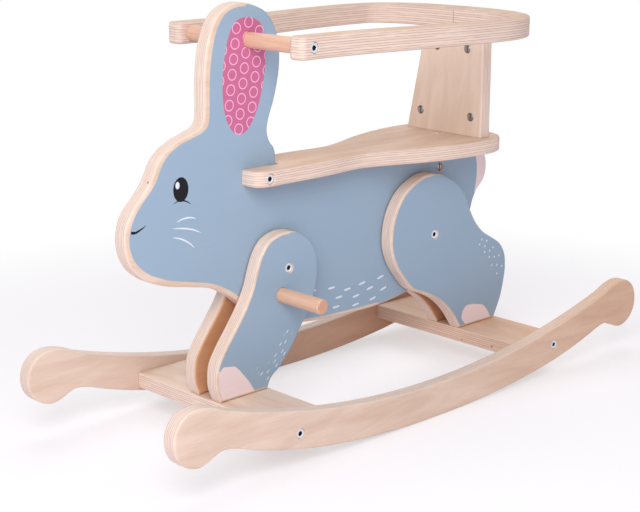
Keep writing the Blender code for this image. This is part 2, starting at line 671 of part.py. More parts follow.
def make_body(materials):
    """The rabbit: head, ears, body and tail in one plate, with its holes for legs, dowels and seat."""
    item = plate("body_plate", body_outline(), PLY, materials["paint"], UPRIGHT, (0, 0, 0))
    start = -PLY * X_AXIS
    holes = []
    for place, radius in ((FRONT_LEG_BOLT, SLEEVE_HOLE_RADIUS), (REAR_LEG_BOLT, SLEEVE_HOLE_RADIUS),
                          (FOOTREST_AXIS, DOWEL_HOLE_RADIUS), ((HANDLE_Y, RAIL_MIDDLE_Z), DOWEL_HOLE_RADIUS),
                          ((PRONG_BOLT_Y, SEAT_MIDDLE_Z), SLEEVE_HOLE_RADIUS)):
        holes.append(plain_hole(start + Vector((0, *place)), X_AXIS, 2 * PLY, radius))
    nut = Vector((0, SEAT_BOLT_Y, SEAT_BOTTOM - NUT_DEPTH))
    holes.append(nut_hole(nut, X_AXIS))
    depth = NUT_DEPTH + THREAD_REACH + FIT
    holes.append(plain_hole(Vector((0, SEAT_BOLT_Y, BODY_TOP + FIT)), -Z_AXIS, depth, HOLE_RADIUS))
    drill(item, holes, "body_holes")


def make_seat(materials):
    """The saddle board. Its slot keeps square rims where it hugs the neck."""
    def in_slot(point):
        return abs(point.x) < LEG_INNER + SLOT_RELIEF + FIT and point.y < SLOT_ROOT_Y + FIT

    item = plate("seat_board", seat_outline(), PLY, materials["birch"], FLAT, (0, 0, SEAT_MIDDLE_Z),
                 keep_sharp=in_slot)
    holes = [bolt_hole((0, SEAT_BOLT_Y, SEAT_TOP), Z_AXIS, 2 * PLY)]
    for side in SIDES:
        outward = side * X_AXIS
        edge = Vector((side * PRONG_OUTER, PRONG_BOLT_Y, SEAT_MIDDLE_Z))
        radius = SLEEVE_HOLE_RADIUS if side > 0 else HOLE_RADIUS
        holes.append(bolt_hole(edge, outward, 2 * PLY, radius))
        foot = Vector((side * BACKREST_FOOT_BOLT_X, BACKREST_FOOT_BOLT_Y, SEAT_BOTTOM))
        holes.append(bolt_hole(foot, -Z_AXIS, 2 * PLY))
    drill(item, holes, "seat_holes")


def make_backrest(materials):
    """A leaning board that narrows upwards, its ends cut level to stand on the seat and carry the rail."""
    bm = bmesh.new()
    weight = bm.edges.layers.float.new("bevel_weight_edge")
    rows = []
    for z in (BACKREST_BOTTOM, BACKREST_TOP):
        half = BACKREST_HALF - (z - BACKREST_BOTTOM) * tan(BACKREST_TAPER)
        front = backrest_middle(z) - BACKREST_DEPTH / 2
        back = front + BACKREST_DEPTH
        rows.append([bm.verts.new(point) for point in ((-half, front, z), (half, front, z), (half, back, z),
                                                       (-half, back, z))])
    low, high = rows
    bm.faces.new(list(reversed(low)))
    bm.faces.new(high)
    for index in range(4):
        after = (index + 1) % 4
        bm.faces.new((low[index], low[after], high[after], high[index]))
        bm.edges.get((low[index], high[index]))[weight] = 1.0
    item = new_object("backrest_board", bm, materials["birch"])
    bevel = item.modifiers.new("rounded_sides", "BEVEL")
    bevel.limit_method = "WEIGHT"
    bevel.width = EDGE_RADIUS
    bevel.segments = EDGE_STEPS
    holes = []
    depth = NUT_DEPTH + THREAD_REACH + FIT
    for side in SIDES:
        foot = Vector((side * BACKREST_FOOT_BOLT_X, BACKREST_FOOT_BOLT_Y, BACKREST_BOTTOM))
        head = Vector((side * BACKREST_HEAD_BOLT_X, BACKREST_HEAD_BOLT_Y, BACKREST_TOP))
        holes.append(plain_hole(foot - Z_AXIS * FIT, Z_AXIS, depth + FIT, HOLE_RADIUS))
        holes.append(plain_hole(head + Z_AXIS * FIT, -Z_AXIS, depth + FIT, HOLE_RADIUS))
        for nut in backrest_nut_places(side):
            holes.append(nut_hole(nut, -Y_AXIS))
    drill(item, holes, "backrest_holes")


def backrest_nut_places(side):
    """Where the lower and the upper bolt's axis meets its barrel nut, on one side."""
    low = Vector((side * BACKREST_FOOT_BOLT_X, BACKREST_FOOT_BOLT_Y, BACKREST_FOOT_NUT_Z))
    high = Vector((side * BACKREST_HEAD_BOLT_X, BACKREST_HEAD_BOLT_Y, BACKREST_HEAD_NUT_Z))
    return low, high


def make_rail(materials):
    """The guard rail's two mirrored halves, which butt together on the backrest."""
    def on_the_butt(point):
        return abs(point.x) < FIT

    for side, word in zip(SIDES, WORDS):
        outline = rail_outline(side)
        item = plate(f"guard_rail_{word}", outline, RAIL_PLY, materials["rail"], FLAT, (0, 0, RAIL_MIDDLE_Z),
                     keep_sharp=on_the_butt)
        outward = side * X_AXIS
        surface = Vector((side * RAIL_FRONT_HALF, HANDLE_Y, RAIL_MIDDLE_Z))
        holes = [bolt_hole(surface, outward, 2 * RAIL_WIDTH)]
        top = Vector((side * BACKREST_HEAD_BOLT_X, BACKREST_HEAD_BOLT_Y, RAIL_TOP))
        holes.append(bolt_hole(top, Z_AXIS, 2 * RAIL_PLY))
        pin = Vector((0, RAIL_PIN_Y, RAIL_MIDDLE_Z))
        holes.append(plain_hole(pin, outward, PIN_HOLE_DEPTH, PIN_HOLE_RADIUS))
        drill(item, holes, f"rail_{word}_holes")


def make_dowels(materials):
    """The handle through the ear, with a threaded insert in each end, and the footrest."""
    half = RAIL_FRONT_HALF - RAIL_WIDTH - FIT
    bar = turned("handle", ((-half, DOWEL_RADIUS), (half, DOWEL_RADIUS)))
    handle = put("handle_dowel", bar, materials["dowel"], (0, HANDLE_Y, RAIL_MIDDLE_Z), X_AXIS)
    tube = turned("insert", ((0.0, HOLE_RADIUS), (0.0, INSERT_RADIUS), (INSERT_LENGTH, INSERT_RADIUS),
                             (INSERT_LENGTH, HOLE_RADIUS)), ring=True)
    bores = []
    for side, word in zip(SIDES, WORDS):
        end = Vector((side * half, HANDLE_Y, RAIL_MIDDLE_Z))
        inward = -side * X_AXIS
        depth = INSERT_LENGTH + THREAD_REACH
        bores.append(plain_hole(end - inward * FIT, inward, depth, INSERT_RADIUS + FIT))
        put(f"handle_insert_{word}", tube, materials["steel"], end + inward * FIT, inward)
    drill(handle, bores, "handle_bores")

    soft = DOWEL_RADIUS - DOWEL_CHAMFER
    inner = FOOTREST_HALF - DOWEL_CHAMFER
    rest = turned("footrest", ((-FOOTREST_HALF, soft), (-inner, DOWEL_RADIUS), (inner, DOWEL_RADIUS),
                               (FOOTREST_HALF, soft)))
    put("footrest_dowel", rest, materials["dowel"], (0, *FOOTREST_AXIS), X_AXIS)


def make_board_fasteners(materials):
    """Bolts and cross dowels that hold the runners to the boards and the legs to the boards."""
    steel = materials["steel"]
    reach = PLY + FIT + NUT_DEPTH + THREAD_REACH - SEAT_DEPTH
    bolt = turned("board_bolt", bolt_profile(reach))
    nut = barrel_nut_mesh(steel)
    ends = zip(("front", "rear"), runner_fixings(), foot_fixings())
    for end, (runner_bolt_y, _), (foot_bolt_y, _) in ends:
        for side, word in zip(SIDES, WORDS):
            outward = side * X_AXIS
            surface = (side * RUNNER_OUTER, runner_bolt_y, BOARD_MIDDLE_Z)
            put(f"rocker_bolt_{end}_{word}", bolt, steel, bearing(surface, outward), outward)
            place = (side * (BOARD_HALF - NUT_DEPTH), runner_bolt_y, BOARD_MIDDLE_Z)
            put(f"rocker_nut_{end}_{word}", nut, steel, place, -Z_AXIS, X_AXIS)
            surface = (side * LEG_MIDDLE, foot_bolt_y, BOARD_BOTTOM)
            put(f"foot_bolt_{end}_{word}", bolt, steel, bearing(surface, -Z_AXIS), -Z_AXIS)
            place = (side * LEG_MIDDLE, foot_bolt_y, LEG_BOTTOM + NUT_DEPTH)
            put(f"foot_nut_{end}_{word}", nut, steel, place, -outward, Z_AXIS)


def make_clamp_bolts(materials):
    """Bolts that clamp the legs and the seat's prongs to the body, each in a sleeve nut from the left."""
    steel = materials["steel"]
    clamps = (("front_leg", LEG_OUTER, FRONT_LEG_BOLT), ("rear_leg", LEG_OUTER, REAR_LEG_BOLT),
              ("seat_prong", PRONG_OUTER, (PRONG_BOLT_Y, SEAT_MIDDLE_Z)))
    for name, half, place in clamps:
        grip = half - SEAT_DEPTH
        sleeve = turned(f"{name}_sleeve", sleeve_profile(grip + BODY_FACE))
        put(f"{name}_sleeve_nut", sleeve, steel, (grip, *place), X_AXIS)
        bolt = turned(f"{name}_screw", bolt_profile(2 * grip - THREAD_REACH))
        put(f"{name}_bolt", bolt, steel, (-grip, *place), -X_AXIS)


def make_seat_fasteners(materials):
    """Bolts and cross dowels that hold the seat, the backrest and the guard rail's rear bar together."""
    steel = materials["steel"]
    nut = barrel_nut_mesh(steel)
    bolt = turned("seat_bolt", bolt_profile(PLY + FIT + NUT_DEPTH + THREAD_REACH - SEAT_DEPTH))
    put("seat_bolt", bolt, steel, bearing((0, SEAT_BOLT_Y, SEAT_TOP), Z_AXIS), Z_AXIS)
    put("seat_nut", nut, steel, (0, SEAT_BOLT_Y, SEAT_BOTTOM - NUT_DEPTH), X_AXIS, Z_AXIS)
    longer = turned("rail_bolt", bolt_profile(RAIL_PLY + FIT + NUT_DEPTH + THREAD_REACH - SEAT_DEPTH))
    for side, word in zip(SIDES, WORDS):
        foot = (side * BACKREST_FOOT_BOLT_X, BACKREST_FOOT_BOLT_Y, SEAT_BOTTOM)
        head = (side * BACKREST_HEAD_BOLT_X, BACKREST_HEAD_BOLT_Y, RAIL_TOP)
        put(f"backrest_bolt_{word}", bolt, steel, bearing(foot, -Z_AXIS), -Z_AXIS)
        put(f"rail_bolt_{word}", longer, steel, bearing(head, Z_AXIS), Z_AXIS)
        low, high = backrest_nut_places(side)
        put(f"backrest_nut_{word}", nut, steel, low, -Y_AXIS, Z_AXIS)
        put(f"rail_nut_{word}", nut, steel, high, -Y_AXIS, Z_AXIS)


def make_handle_bolts(materials):
    """Sunk bolts through the rail's ends into the handle's inserts."""
    bolt = turned("handle_bolt", bolt_profile(RAIL_WIDTH + INSERT_LENGTH - SEAT_DEPTH))
    for side, word in zip(SIDES, WORDS):
        surface = (side * RAIL_FRONT_HALF, HANDLE_Y, RAIL_MIDDLE_Z)
        put(f"handle_bolt_{word}", bolt, materials["steel"], bearing(surface, side * X_AXIS), side * X_AXIS)


def make_pins(materials):
    """Wooden locating pins between runners and boards, feet and boards, and the rail's halves."""
    half = PIN_LENGTH / 2
    small = PIN_RADIUS - PIN_CHAMFER
    pin = turned("pin", ((-half, small), (PIN_CHAMFER - half, PIN_RADIUS), (half - PIN_CHAMFER, PIN_RADIUS),
                         (half, small)))
    wood = materials["dowel"]
    ends = zip(("front", "rear"), runner_fixings(), foot_fixings())
    for end, (_, runner_pin_y), (_, foot_pin_y) in ends:
        for side, word in zip(SIDES, WORDS):
            place = (side * (RUNNER_INNER - FIT / 2), runner_pin_y, BOARD_MIDDLE_Z)
            put(f"rocker_pin_{end}_{word}", pin, wood, place, X_AXIS)
            place = (side * LEG_MIDDLE, foot_pin_y, BOARD_TOP + FIT / 2)
            put(f"foot_pin_{end}_{word}", pin, wood, place, Z_AXIS)
    put("rail_pin", pin, wood, (0, RAIL_PIN_Y, RAIL_MIDDLE_Z), X_AXIS)


def main():
    for item in list(bpy.data.objects):
        bpy.data.objects.remove(item, do_unlink=True)
    materials = make_materials()
    make_runners(materials)
    make_boards(materials)
    make_legs(materials)
    make_body(materials)
    make_seat(materials)
    make_backrest(materials)
    make_rail(materials)
    make_dowels(materials)
    make_board_fasteners(materials)
    make_clamp_bolts(materials)
    make_seat_fasteners(materials)
    make_handle_bolts(materials)
    make_pins(materials)


main()
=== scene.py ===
"""Looks of the rocking rabbit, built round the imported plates, dowels and fasteners.

Every wooden plate is a surface worked out from its outline: a rounded rim carried along it, closed by two
flat faces in which the painted shapes are cut. Lengths are millimetres until a mesh is made.
"""

from math import cos, pi, radians, sin, tan

import bpy
import numpy as np
from bpy.props import FloatProperty, FloatVectorProperty, IntProperty, PointerProperty
from bpy.types import Operator, Panel, PropertyGroup
from mathutils import Matrix, Vector
from mathutils.geometry import delaunay_2d_cdt


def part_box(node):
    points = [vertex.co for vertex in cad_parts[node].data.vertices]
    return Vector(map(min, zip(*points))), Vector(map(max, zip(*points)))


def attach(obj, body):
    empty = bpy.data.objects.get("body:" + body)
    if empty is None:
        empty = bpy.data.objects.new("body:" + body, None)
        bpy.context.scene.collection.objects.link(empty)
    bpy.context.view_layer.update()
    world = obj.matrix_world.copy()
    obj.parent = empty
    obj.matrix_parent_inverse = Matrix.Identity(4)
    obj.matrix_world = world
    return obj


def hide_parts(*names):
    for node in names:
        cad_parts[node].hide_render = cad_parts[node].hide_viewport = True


bl_info = {
    "name": "Rocking rabbit",
    "version": (1, 0, 0),
    "blender": (4, 5, 0),
    "location": "View3D > Sidebar > Rabbit",
    "description": "Builds a plywood rocking rabbit round its packed CAD parts",
    "category": "Object",
}

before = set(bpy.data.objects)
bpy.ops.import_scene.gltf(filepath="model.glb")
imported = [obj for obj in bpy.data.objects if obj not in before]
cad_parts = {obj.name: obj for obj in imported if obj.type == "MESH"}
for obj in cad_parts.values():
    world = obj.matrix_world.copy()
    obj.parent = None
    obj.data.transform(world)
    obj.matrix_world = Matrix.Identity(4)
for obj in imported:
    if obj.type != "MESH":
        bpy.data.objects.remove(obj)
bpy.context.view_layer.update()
MM = 0.001


def span(node, axis):
    """How far a CAD node reaches along an axis, from and to, in millimetres."""
    low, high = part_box(node)
    return low[axis] / MM, high[axis] / MM


X, Y, Z = 0, 1, 2
UPRIGHT = (Y, Z, X)
FLAT = (X, Y, Z)
SIDES = {"left": 1, "right": -1}
SQUARE = ((-1, -1), (1, -1), (1, 1), (-1, 1))
TOWARDS_X, TOWARDS_Y, TOWARDS_Z = np.eye(3)

# Stock, fits and fasteners. A name alone is a radius, but PLY is the plates' thickness and FIT a clearance
PLY = 18.0
FIT = 0.3
DOWEL, HANDLE_EASE, FOOTREST_EASE = 8.5, 0.3, 2.2
HEAD, HEAD_HEIGHT, HEAD_SINK, HEAD_ROUND = 5.5, 5.0, 0.8, 0.6
SOCKET, SOCKET_DEPTH, SOCKET_MOUTH, SOCKET_MOUTH_DEPTH = 2.5, 2.6, 0.75, 0.45
THREAD, THREAD_REACH, THREAD_CHAMFER, SLEEVE, BORE_TIP = 3.0, 7.0, 0.4, 4.5, 0.05
NUT, NUT_SINK, NUT_TAIL, NUT_TAIL_CHAMFER, NUT_CHAMFER, NUT_DEPTH = 5.0, 0.8, 5.8, 0.4, 1.3, 22.5
NUT_SLOT, NUT_SLOT_DEPTH = 1.6, 1.4
INSERT, INSERT_LENGTH = 4.5, 15.0
PIN, PIN_LENGTH, PIN_EASE = 4.0, 22.0, 0.8
BOLT_SEAT = HEAD_HEIGHT + HEAD_SINK
NUT_HEAD = PLY / 2 - NUT_SINK

# How far a cutter stands proud of a face, and how deep its cone eases a hole's mouth
PROUD, MOUTH_EASE, HEAD_MOUTH_EASE = 2.0, 0.3, 0.4

# Where the pieces lie, read from the frame
RUNNER_INNER, RUNNER_OUTER = span("rocker_left", X)
LEG_INNER, LEG_OUTER = span("front_leg_left", X)
LEG_MIDDLE = (LEG_INNER + LEG_OUTER) / 2
BOARD_BOTTOM, BOARD_TOP = span("front_cross_board", Z)
BOARD_MIDDLE = (BOARD_BOTTOM + BOARD_TOP) / 2
BOARD_HALF = span("front_cross_board", X)[1]
LEG_BOTTOM = span("front_leg_left", Z)[0]
SEAT_BOTTOM, SEAT_TOP = span("seat_board", Z)
SEAT_MIDDLE = (SEAT_BOTTOM + SEAT_TOP) / 2
BODY_TOP = SEAT_BOTTOM - FIT
RAIL_BOTTOM, RAIL_TOP = span("guard_rail_left", Z)
RAIL_MIDDLE, RAIL_PLY = (RAIL_BOTTOM + RAIL_TOP) / 2, RAIL_TOP - RAIL_BOTTOM
BACK_BOTTOM, BACK_TOP = span("backrest_board", Z)
HANDLE_HALF = span("handle_dowel", X)[1]
FOOTREST_HALF = span("footrest_dowel", X)[1]

# Fixings, as (y, z) on the upright plates, and along the runners and boards as the y of bolt and pin
RUNNER_FIXINGS = ((-219.5, -185.5), (214.5, 180.5))
FOOT_FIXINGS = ((-190.0, -218.0), (184.0, 208.0))
ENDS = tuple(zip(("front", "rear"), RUNNER_FIXINGS, FOOT_FIXINGS))
FRONT_LEG_BOLT, REAR_LEG_BOLT = (-136.0, 180.7), (107.0, 177.7)
FOOTREST, HANDLE = (-146.5, 151.4), (-176.0, RAIL_MIDDLE)
PRONG_BOLT = (-170.5, SEAT_MIDDLE)
SEAT_BOLT_Y = 134.0
SEAT_NUT = (0.0, SEAT_BOLT_Y, SEAT_BOTTOM - NUT_DEPTH)
BACKREST_FRONT, BACKREST_HALF, LEAN, TAPER = 147.8, 59.8, radians(7.0), radians(5.9)
BACKREST_ROWS = 24
FOOT_BOLT_X, HEAD_BOLT_X = 40.3, 24.1
FOOT_NUT_Z, HEAD_NUT_Z = BACK_BOTTOM + NUT_DEPTH, BACK_TOP - NUT_DEPTH

# Runners and guard rail. SOLE_FLAT is the half length of the sole's flat middle
SOLE_HALF, SOLE_RISE, SOLE_QUARTIC = 296.0, 39.0, 0.28
SOLE_FLAT = SOLE_HALF / 17
RUNNER_DEPTH, RUNNER_TOP_RADIUS, RUNNER_TOP_HALF, END_LIFT = 40.2, 1125.0, 318.0, 3.0
RAIL_WIDTH, RAIL_FRONT_HALF, RAIL_REAR_HALF, RAIL_END, RAIL_END_RADIUS = 21.7, 108.5, 135.0, -194.0, 7.0
RAIL_FLARE_START, RAIL_CORNER, RAIL_REAR = -168.0, 96.5, 201.4
RAIL_INNER_CORNER, RAIL_INNER_REAR, RAIL_CORNER_POWER, RAIL_PIN_Y = 124.0, 162.0, 2.5, 184.0
BUTT_EASE = 0.9

# How lines are divided: points of an arc, a rounded corner and a small one, steps of a smooth span, and the
# plain lengths beside a corner and along the boards
ARC_POINTS, CORNER_POINTS, END_POINTS = 400, 160, 16
CURVE_STEPS, CORNER_RUN, BOARD_SPACING = 24, 4.0, 6.0

# The sine from which a turn counts as a corner, and the distance in which points are joined
SHARP_TURN, WELD = 0.3, 1e-4

# Outlines: upright plates as (y, z), the seat as (x, y)
KNOB = ((307, 42.4), (318, 44.8), (326, 45.1), (335, 42.0), (345, 37.4), (355, 34.9), (365, 36.3),
        (375, 41.3), (383, 49.5), (387.5, 62.5), (386.5, 75), (380, 87), (369, 94.7), (354, 96.9),
        (337, 93.7))

BODY = ((203, BODY_TOP), (216, 266), (223, 254), (224, 240), (218, 226), (208, 217), (201, 207), (195, 191),
        (182, 168), (158, 142), (122, 119), (80, 107), (27, 100), (-36, 100.7), (-96, 104.7),
        (-145.6, 115.5), (-181.2, 137.4), (-206.2, 157.7), (-233, 171.8), (-263, 179), (-297.5, 187),
        (-322.5, 198.5), (-339, 214.7), (-346, 235.6), (-344.6, 255.3), (-336.5, 271.5), (-324.3, 284),
        (-314.5, 295.2), (-308.3, 305.2), (-302.7, 316.3), (-292.5, 327), (-276.5, 336.3), (-257, 343),
        (-245, 348.2), (-241.2, 352.6), (-239.8, 360.3), (-239.3, 382.2), (-238, 407.6), (-233, 435.2),
        (-224.3, 455.2), (-211.5, 467.8), (-197.5, 472.7), (-181, 473), (-165, 468.5), (-150, 460.8),
        (-139.5, 446.7), (-133, 427.2), (-132, 408.2), (-135.8, 383.7), (-142, 363.2), (-149, 345),
        (-150.8, 334), (-147.5, 322.5), (-140.5, 313.5), (-138.6, 304), (-138.5, SEAT_TOP))
NECK_Y = -138.5

FRONT_LEG = ((-168.5, LEG_BOTTOM), (-165, 55.5), (-149, 69), (-132.2, 87), (-118, 107.5), (-104.5, 127),
             (-96, 146), (-91.5, 164), (-91.2, 180), (-96, 196), (-106, 209.5), (-121, 218.5),
             (-137, 222.5), (-153, 221), (-167.5, 214.5), (-177.5, 202), (-184, 187), (-190.5, 167.5),
             (-200, 149), (-217, 125), (-233, 103.5), (-240.5, 91), (-243.3, 76), (-242.5, 62.5),
             (-236.5, LEG_BOTTOM))

REAR_LEG = ((227, LEG_BOTTOM), (232, 56.5), (238.5, 69.5), (244.5, 90), (247.6, 111), (244.5, 131),
            (235, 144.5), (219, 154.8), (199.5, 166.5), (185, 181), (173.5, 199), (164, 218.5),
            (150.5, 233), (134, 244), (112, 252), (90, 254), (70, 248), (50, 235), (36.5, 216), (30, 195),
            (30, 171), (37, 152), (51.5, 132), (68, 114.8), (93, 104), (119, 90), (140, 71.5),
            (158.5, LEG_BOTTOM))

SEAT = ((19, -188.5), (27.5, -186.5), (33.2, -180.5), (35.2, -171), (35.2, -150), (35.6, -96), (34.5, -72),
        (31.8, -47), (32.4, -22), (38.5, 0), (47.5, 24), (56.5, 48), (64, 74), (69.5, 101), (72.3, 128),
        (72.6, 150), (69.2, 170), (60, 184), (44, 192), (23, 193.8), (0, 193.8))
SLOT_RELIEF, SLOT_RELIEF_Y, SLOT_ROOT_Y = 2.2, -153.0, -134.5

# Painted shapes, as (y, z). The blue stops at its edge line, short of the rim of belly, head and ear
PAINT_EDGE = ((26.8, 104.0), (-35.9, 105.0), (-95.5, 109.0), (-143.8, 119.8), (-178.2, 141.4),
              (-203.3, 162.0), (-230.9, 176.8), (-261.2, 184.9), (-294.9, 193.8), (-318.3, 204.9),
              (-333.0, 218.7), (-340.0, 236.4), (-338.6, 253.7), (-331.5, 268.4), (-320.8, 281.0),
              (-310.2, 291.6), (-302.9, 302.0), (-297.5, 312.9), (-289.0, 323.3), (-274.7, 332.3),
              (-255.1, 338.6), (-241.4, 343.2), (-234.7, 348.9), (-232.6, 359.6), (-232.0, 381.9),
              (-230.5, 406.6), (-225.6, 433.1), (-218.5, 451.9), (-208.3, 463.5), (-196.3, 468.4),
              (-181.3, 469.5))
PAINT_SPACING, PAINT_CLEAR = 1.5, 0.8
STROKE_SPACING, STROKE_FADE, STROKE_LEAST = 0.5, 0.6, 0.06
EYE, EYE_HALF = (-272.5, 286.5), (10.1, 13.1)
GLINT, GLINT_HALF = (-276.8, 291.4), (2.7, 3.9)
LASH_WIDTH, MOUTH_WIDTH, WHISKER_WIDTH = 1.6, 3.2, 1.8
LASH = ((-282.9, 272.4), (-277.9, 274.5), (-271.8, 274.7), (-265.7, 273.1), (-259.1, 268.9))
MOUTH = ((-338.0, 251.2), (-332.5, 250.3), (-326.6, 252.2), (-321.8, 254.2), (-318.7, 256.1))
WHISKERS = (((-279.7, 252.8), (-271.1, 254.8), (-262.4, 255.1), (-252.5, 252.8)),
            ((-284.8, 246.9), (-275.0, 245.5), (-262.7, 243.0), (-252.8, 239.4), (-246.0, 236.1)),
            ((-285.0, 237.3), (-275.3, 234.6), (-265.4, 229.5), (-259.3, 224.9), (-255.6, 221.2)))
EAR_LINING = ((-181.0, 458.5), (-192.8, 455.6), (-200.2, 449.1), (-204.7, 440.2), (-208.5, 429.4),
              (-211.1, 417.6), (-213.0, 405.7), (-214.0, 391.8), (-214.2, 379.6), (-213.2, 368.1),
              (-210.9, 356.5), (-206.7, 346.6), (-200.6, 338.7), (-192.9, 334.5), (-184.3, 335.8),
              (-177.2, 341.2), (-171.4, 349.3), (-166.2, 358.4), (-162.3, 368.6), (-158.9, 379.7),
              (-156.2, 391.0), (-154.3, 403.3), (-153.6, 415.6), (-153.8, 427.1), (-154.6, 436.6),
              (-156.6, 445.2), (-161.6, 451.6), (-170.4, 456.4), (-181.0, 458.5))
RING_START, RING_DOWN, RING_ACROSS = (-181.4, 420.7), (-2.2, -16.05), (17.15, 5.5)
RING_OUTER, RING_STROKE, RING_LEAST = 6.15, 1.1, 0.8
RING_ROWS, RING_COLUMNS = range(-4, 8), range(-2, 3)
BELLY_DASHES = ((-52.0, 137.2), (-25.7, 130.6), (-1.1, 133.2), (30.5, 134.7), (12.4, 124.5), (35.9, 119.4),
                (-39.6, 123.7), (-11.3, 119.5), (17.5, 110.6), (-44.2, 112.7), (-11.6, 109.0))
BELLY_DASH, BELLY_SLANT = (11.0, 2.5), 0.155
BELLY_DOT, BELLY_DOT_HALF = (-78.7, 139.5), (1.6, 1.4)
HAUNCH_DOTS = ((197.1, 156.0), (206.8, 152.7), (193.1, 150.3), (203.4, 146.2), (219.9, 141.7),
               (213.5, 138.5), (203.8, 138.6), (213.3, 130.1), (223.2, 128.7), (232.5, 129.0),
               (218.8, 118.2), (229.1, 117.0), (239.3, 113.5), (229.6, 105.3))
HAUNCH_DOT_HALF = (1.35, 1.35)
PAW_DASHES = ((-139.3, 107.4), (-141.9, 96.3), (-149.6, 95.0), (-147.0, 86.1), (-144.0, 82.7),
              (-157.2, 83.8), (-158.4, 77.0), (-155.7, 71.5), (-178.1, 67.0), (-168.6, 67.4), (-169.1, 59.4))
FAINT_PAW_DASHES = ((-132.4, 103.8), (-144.2, 104.6), (-167.8, 77.7), (-149.0, 75.8), (-184.6, 74.8),
                    (-183.0, 68.7))
PAW_DASH, FAINT_PAW_DASH, PAW_SLANT = (5.0, 1.3), (4.2, 1.1), 47
TAIL_LINE = ((205.5, 275.5), (202.6, 259.5), (204.3, 249.1), (204.9, 236.6), (203.6, 225.9), (201.3, 214.0))
FRONT_PAD_LINE = ((-237.6, 83.5), (-234.9, 86.5), (-225.8, 86.2), (-216.6, 84.1), (-210.3, 78.4),
                  (-203.9, 71.0), (-196.5, 61.8), (-188.3, 49.0))
REAR_PAD_LINE = ((170.5, 49.0), (161.8, 59.9), (163.7, 68.3), (169.5, 73.6), (178.9, 74.3), (193.4, 71.5),
                 (203.1, 68.6), (212.2, 59.9), (220.1, 48.0))

# How far inside the border the rim's paint is read, how far to the rear a rim has to face before the paint
# reaches its full share of the rounding, and that share
SHOULDER_PROBE, SHOULDER_TURN, SHOULDER_SHARE = 0.4, 0.45, 0.8

# A painted plate's materials. The printed ones are (name, colour, unevenness, share of specks)
BARE, BLUE, PINK, BLACK, WHITE, PAD, RING, FAINT = range(8)
BLUE_PAINT = "blue_satin_paint"
PRINTED = (("ear_lining_pink", "pink", 0.1, 0.5), ("ink_black", "black", 0.2, 0.0),
           ("ink_white", "white", 0.06, 0.0), ("pad_pink", "pad", 0.05, 0.0),
           ("ear_ring_pink", "ring", 0.1, 0.0), ("ink_faint_white", "faint", 0.08, 0.0))
# Drilled holes' walls: darker end grain, deepened as painted shade inside the holes
BORED_SHADE = "bored_birch"

# The y from which and to which the painted warm shade rises towards the rear
REAR_SHADE_SPAN = (-60.0, 380.0)

# Past these angles in degrees an edge is shaded sharp
WOOD_SHARP, STEEL_SHARP = 40.0, 30.0

# Studio: each lamp's name, kind, place in metres and softness, the floor in millimetres and the room's tint
LAMPS = (("key", "AREA", (0.80, -1.10, 1.10), {"size": 0.9}),
         ("fill", "SUN", (0.86, -0.38, 0.34), {"angle": radians(60.0)}),
         ("back", "SUN", (-0.40, 0.35, 0.85), {"angle": radians(45.0)}))
FLOOR_HALF, FLOOR_Z = 40.0 / MM, -0.2
FLOOR_NEAR, FLOOR_FAR = 420.0, 900.0
ROOM_TINT, WHITE_LIGHT = (0.96, 0.97, 1.0, 1.0), (1.0, 1.0, 1.0, 1.0)
SENSOR_WIDTH = 36.0


# Lines and outlines

def even(points, spacing, clear=0.0):
    """The same line with its points evenly spaced, and its first and last pieces `clear` long."""
    points = np.asarray(points, float)
    run = np.concatenate([[0.0], np.cumsum(np.linalg.norm(np.diff(points, axis=0), axis=1))])
    count = max(2, int(round((run[-1] - 2 * clear) / spacing)) + 1)
    at = np.linspace(clear, run[-1] - clear, count)
    if clear:
        at = np.concatenate([[0.0], at, [run[-1]]])
    return np.stack([np.interp(at, run, points[:, 0]), np.interp(at, run, points[:, 1])], axis=1)


def smooth(points):
    """Many points along a smooth curve through the given ones.

    Each span is a cubic Bezier, (1-t)^3 a + 3 (1-t)^2 t b + 3 (1-t) t^2 c + t^3 d, whose handles b and c
    lie a third of the span along the slope at its ends. A slope is the mean of the two spans that meet
    there, the nearer one counting more.
    """
    points = np.asarray(points, float)
    step = np.diff(points, axis=0)
    length = np.linalg.norm(step, axis=1)[:, None]
    ratio = length[1:] / length[:-1]
    inner = (step[:-1] * ratio + step[1:] / ratio) / (length[:-1] + length[1:])
    slope = np.vstack([step[:1] / length[:1], inner, step[-1:] / length[-1:]])
    a, d = points[:-1, None], points[1:, None]
    b = a + (slope[:-1] * length / 3)[:, None]
    c = d - (slope[1:] * length / 3)[:, None]
    t = np.linspace(0.0, 1.0, CURVE_STEPS, endpoint=False)[None, :, None]
    curve = (1 - t) ** 3 * a + 3 * (1 - t) ** 2 * t * b + 3 * (1 - t) * t ** 2 * c + t ** 3 * d
    return np.vstack([curve.reshape(-1, 2), points[-1:]])


def closed(*runs):
    """One anticlockwise loop of the given runs, each of which starts where the last one ends."""
    loop = np.vstack([run[:-1] for run in runs])
    ahead = np.roll(loop, -1, axis=0)
    area = np.sum(loop[:, 0] * ahead[:, 1] - loop[:, 1] * ahead[:, 0])
    return loop if area > 0 else loop[::-1].copy()


def inside(points, loop):
    """Which points a loop holds: those from which a line to the right crosses it an odd number of times."""
    x, y = points[:, 0, None], points[:, 1, None]
    x1, y1 = loop[:, 0], loop[:, 1]
    x2, y2 = np.roll(x1, -1), np.roll(y1, -1)
    rise = np.where(y1 == y2, 1.0, y2 - y1)
    crossing = ((y1 > y) != (y2 > y)) & (x < x1 + (y - y1) * (x2 - x1) / rise)
    return crossing.sum(axis=1) % 2 == 1


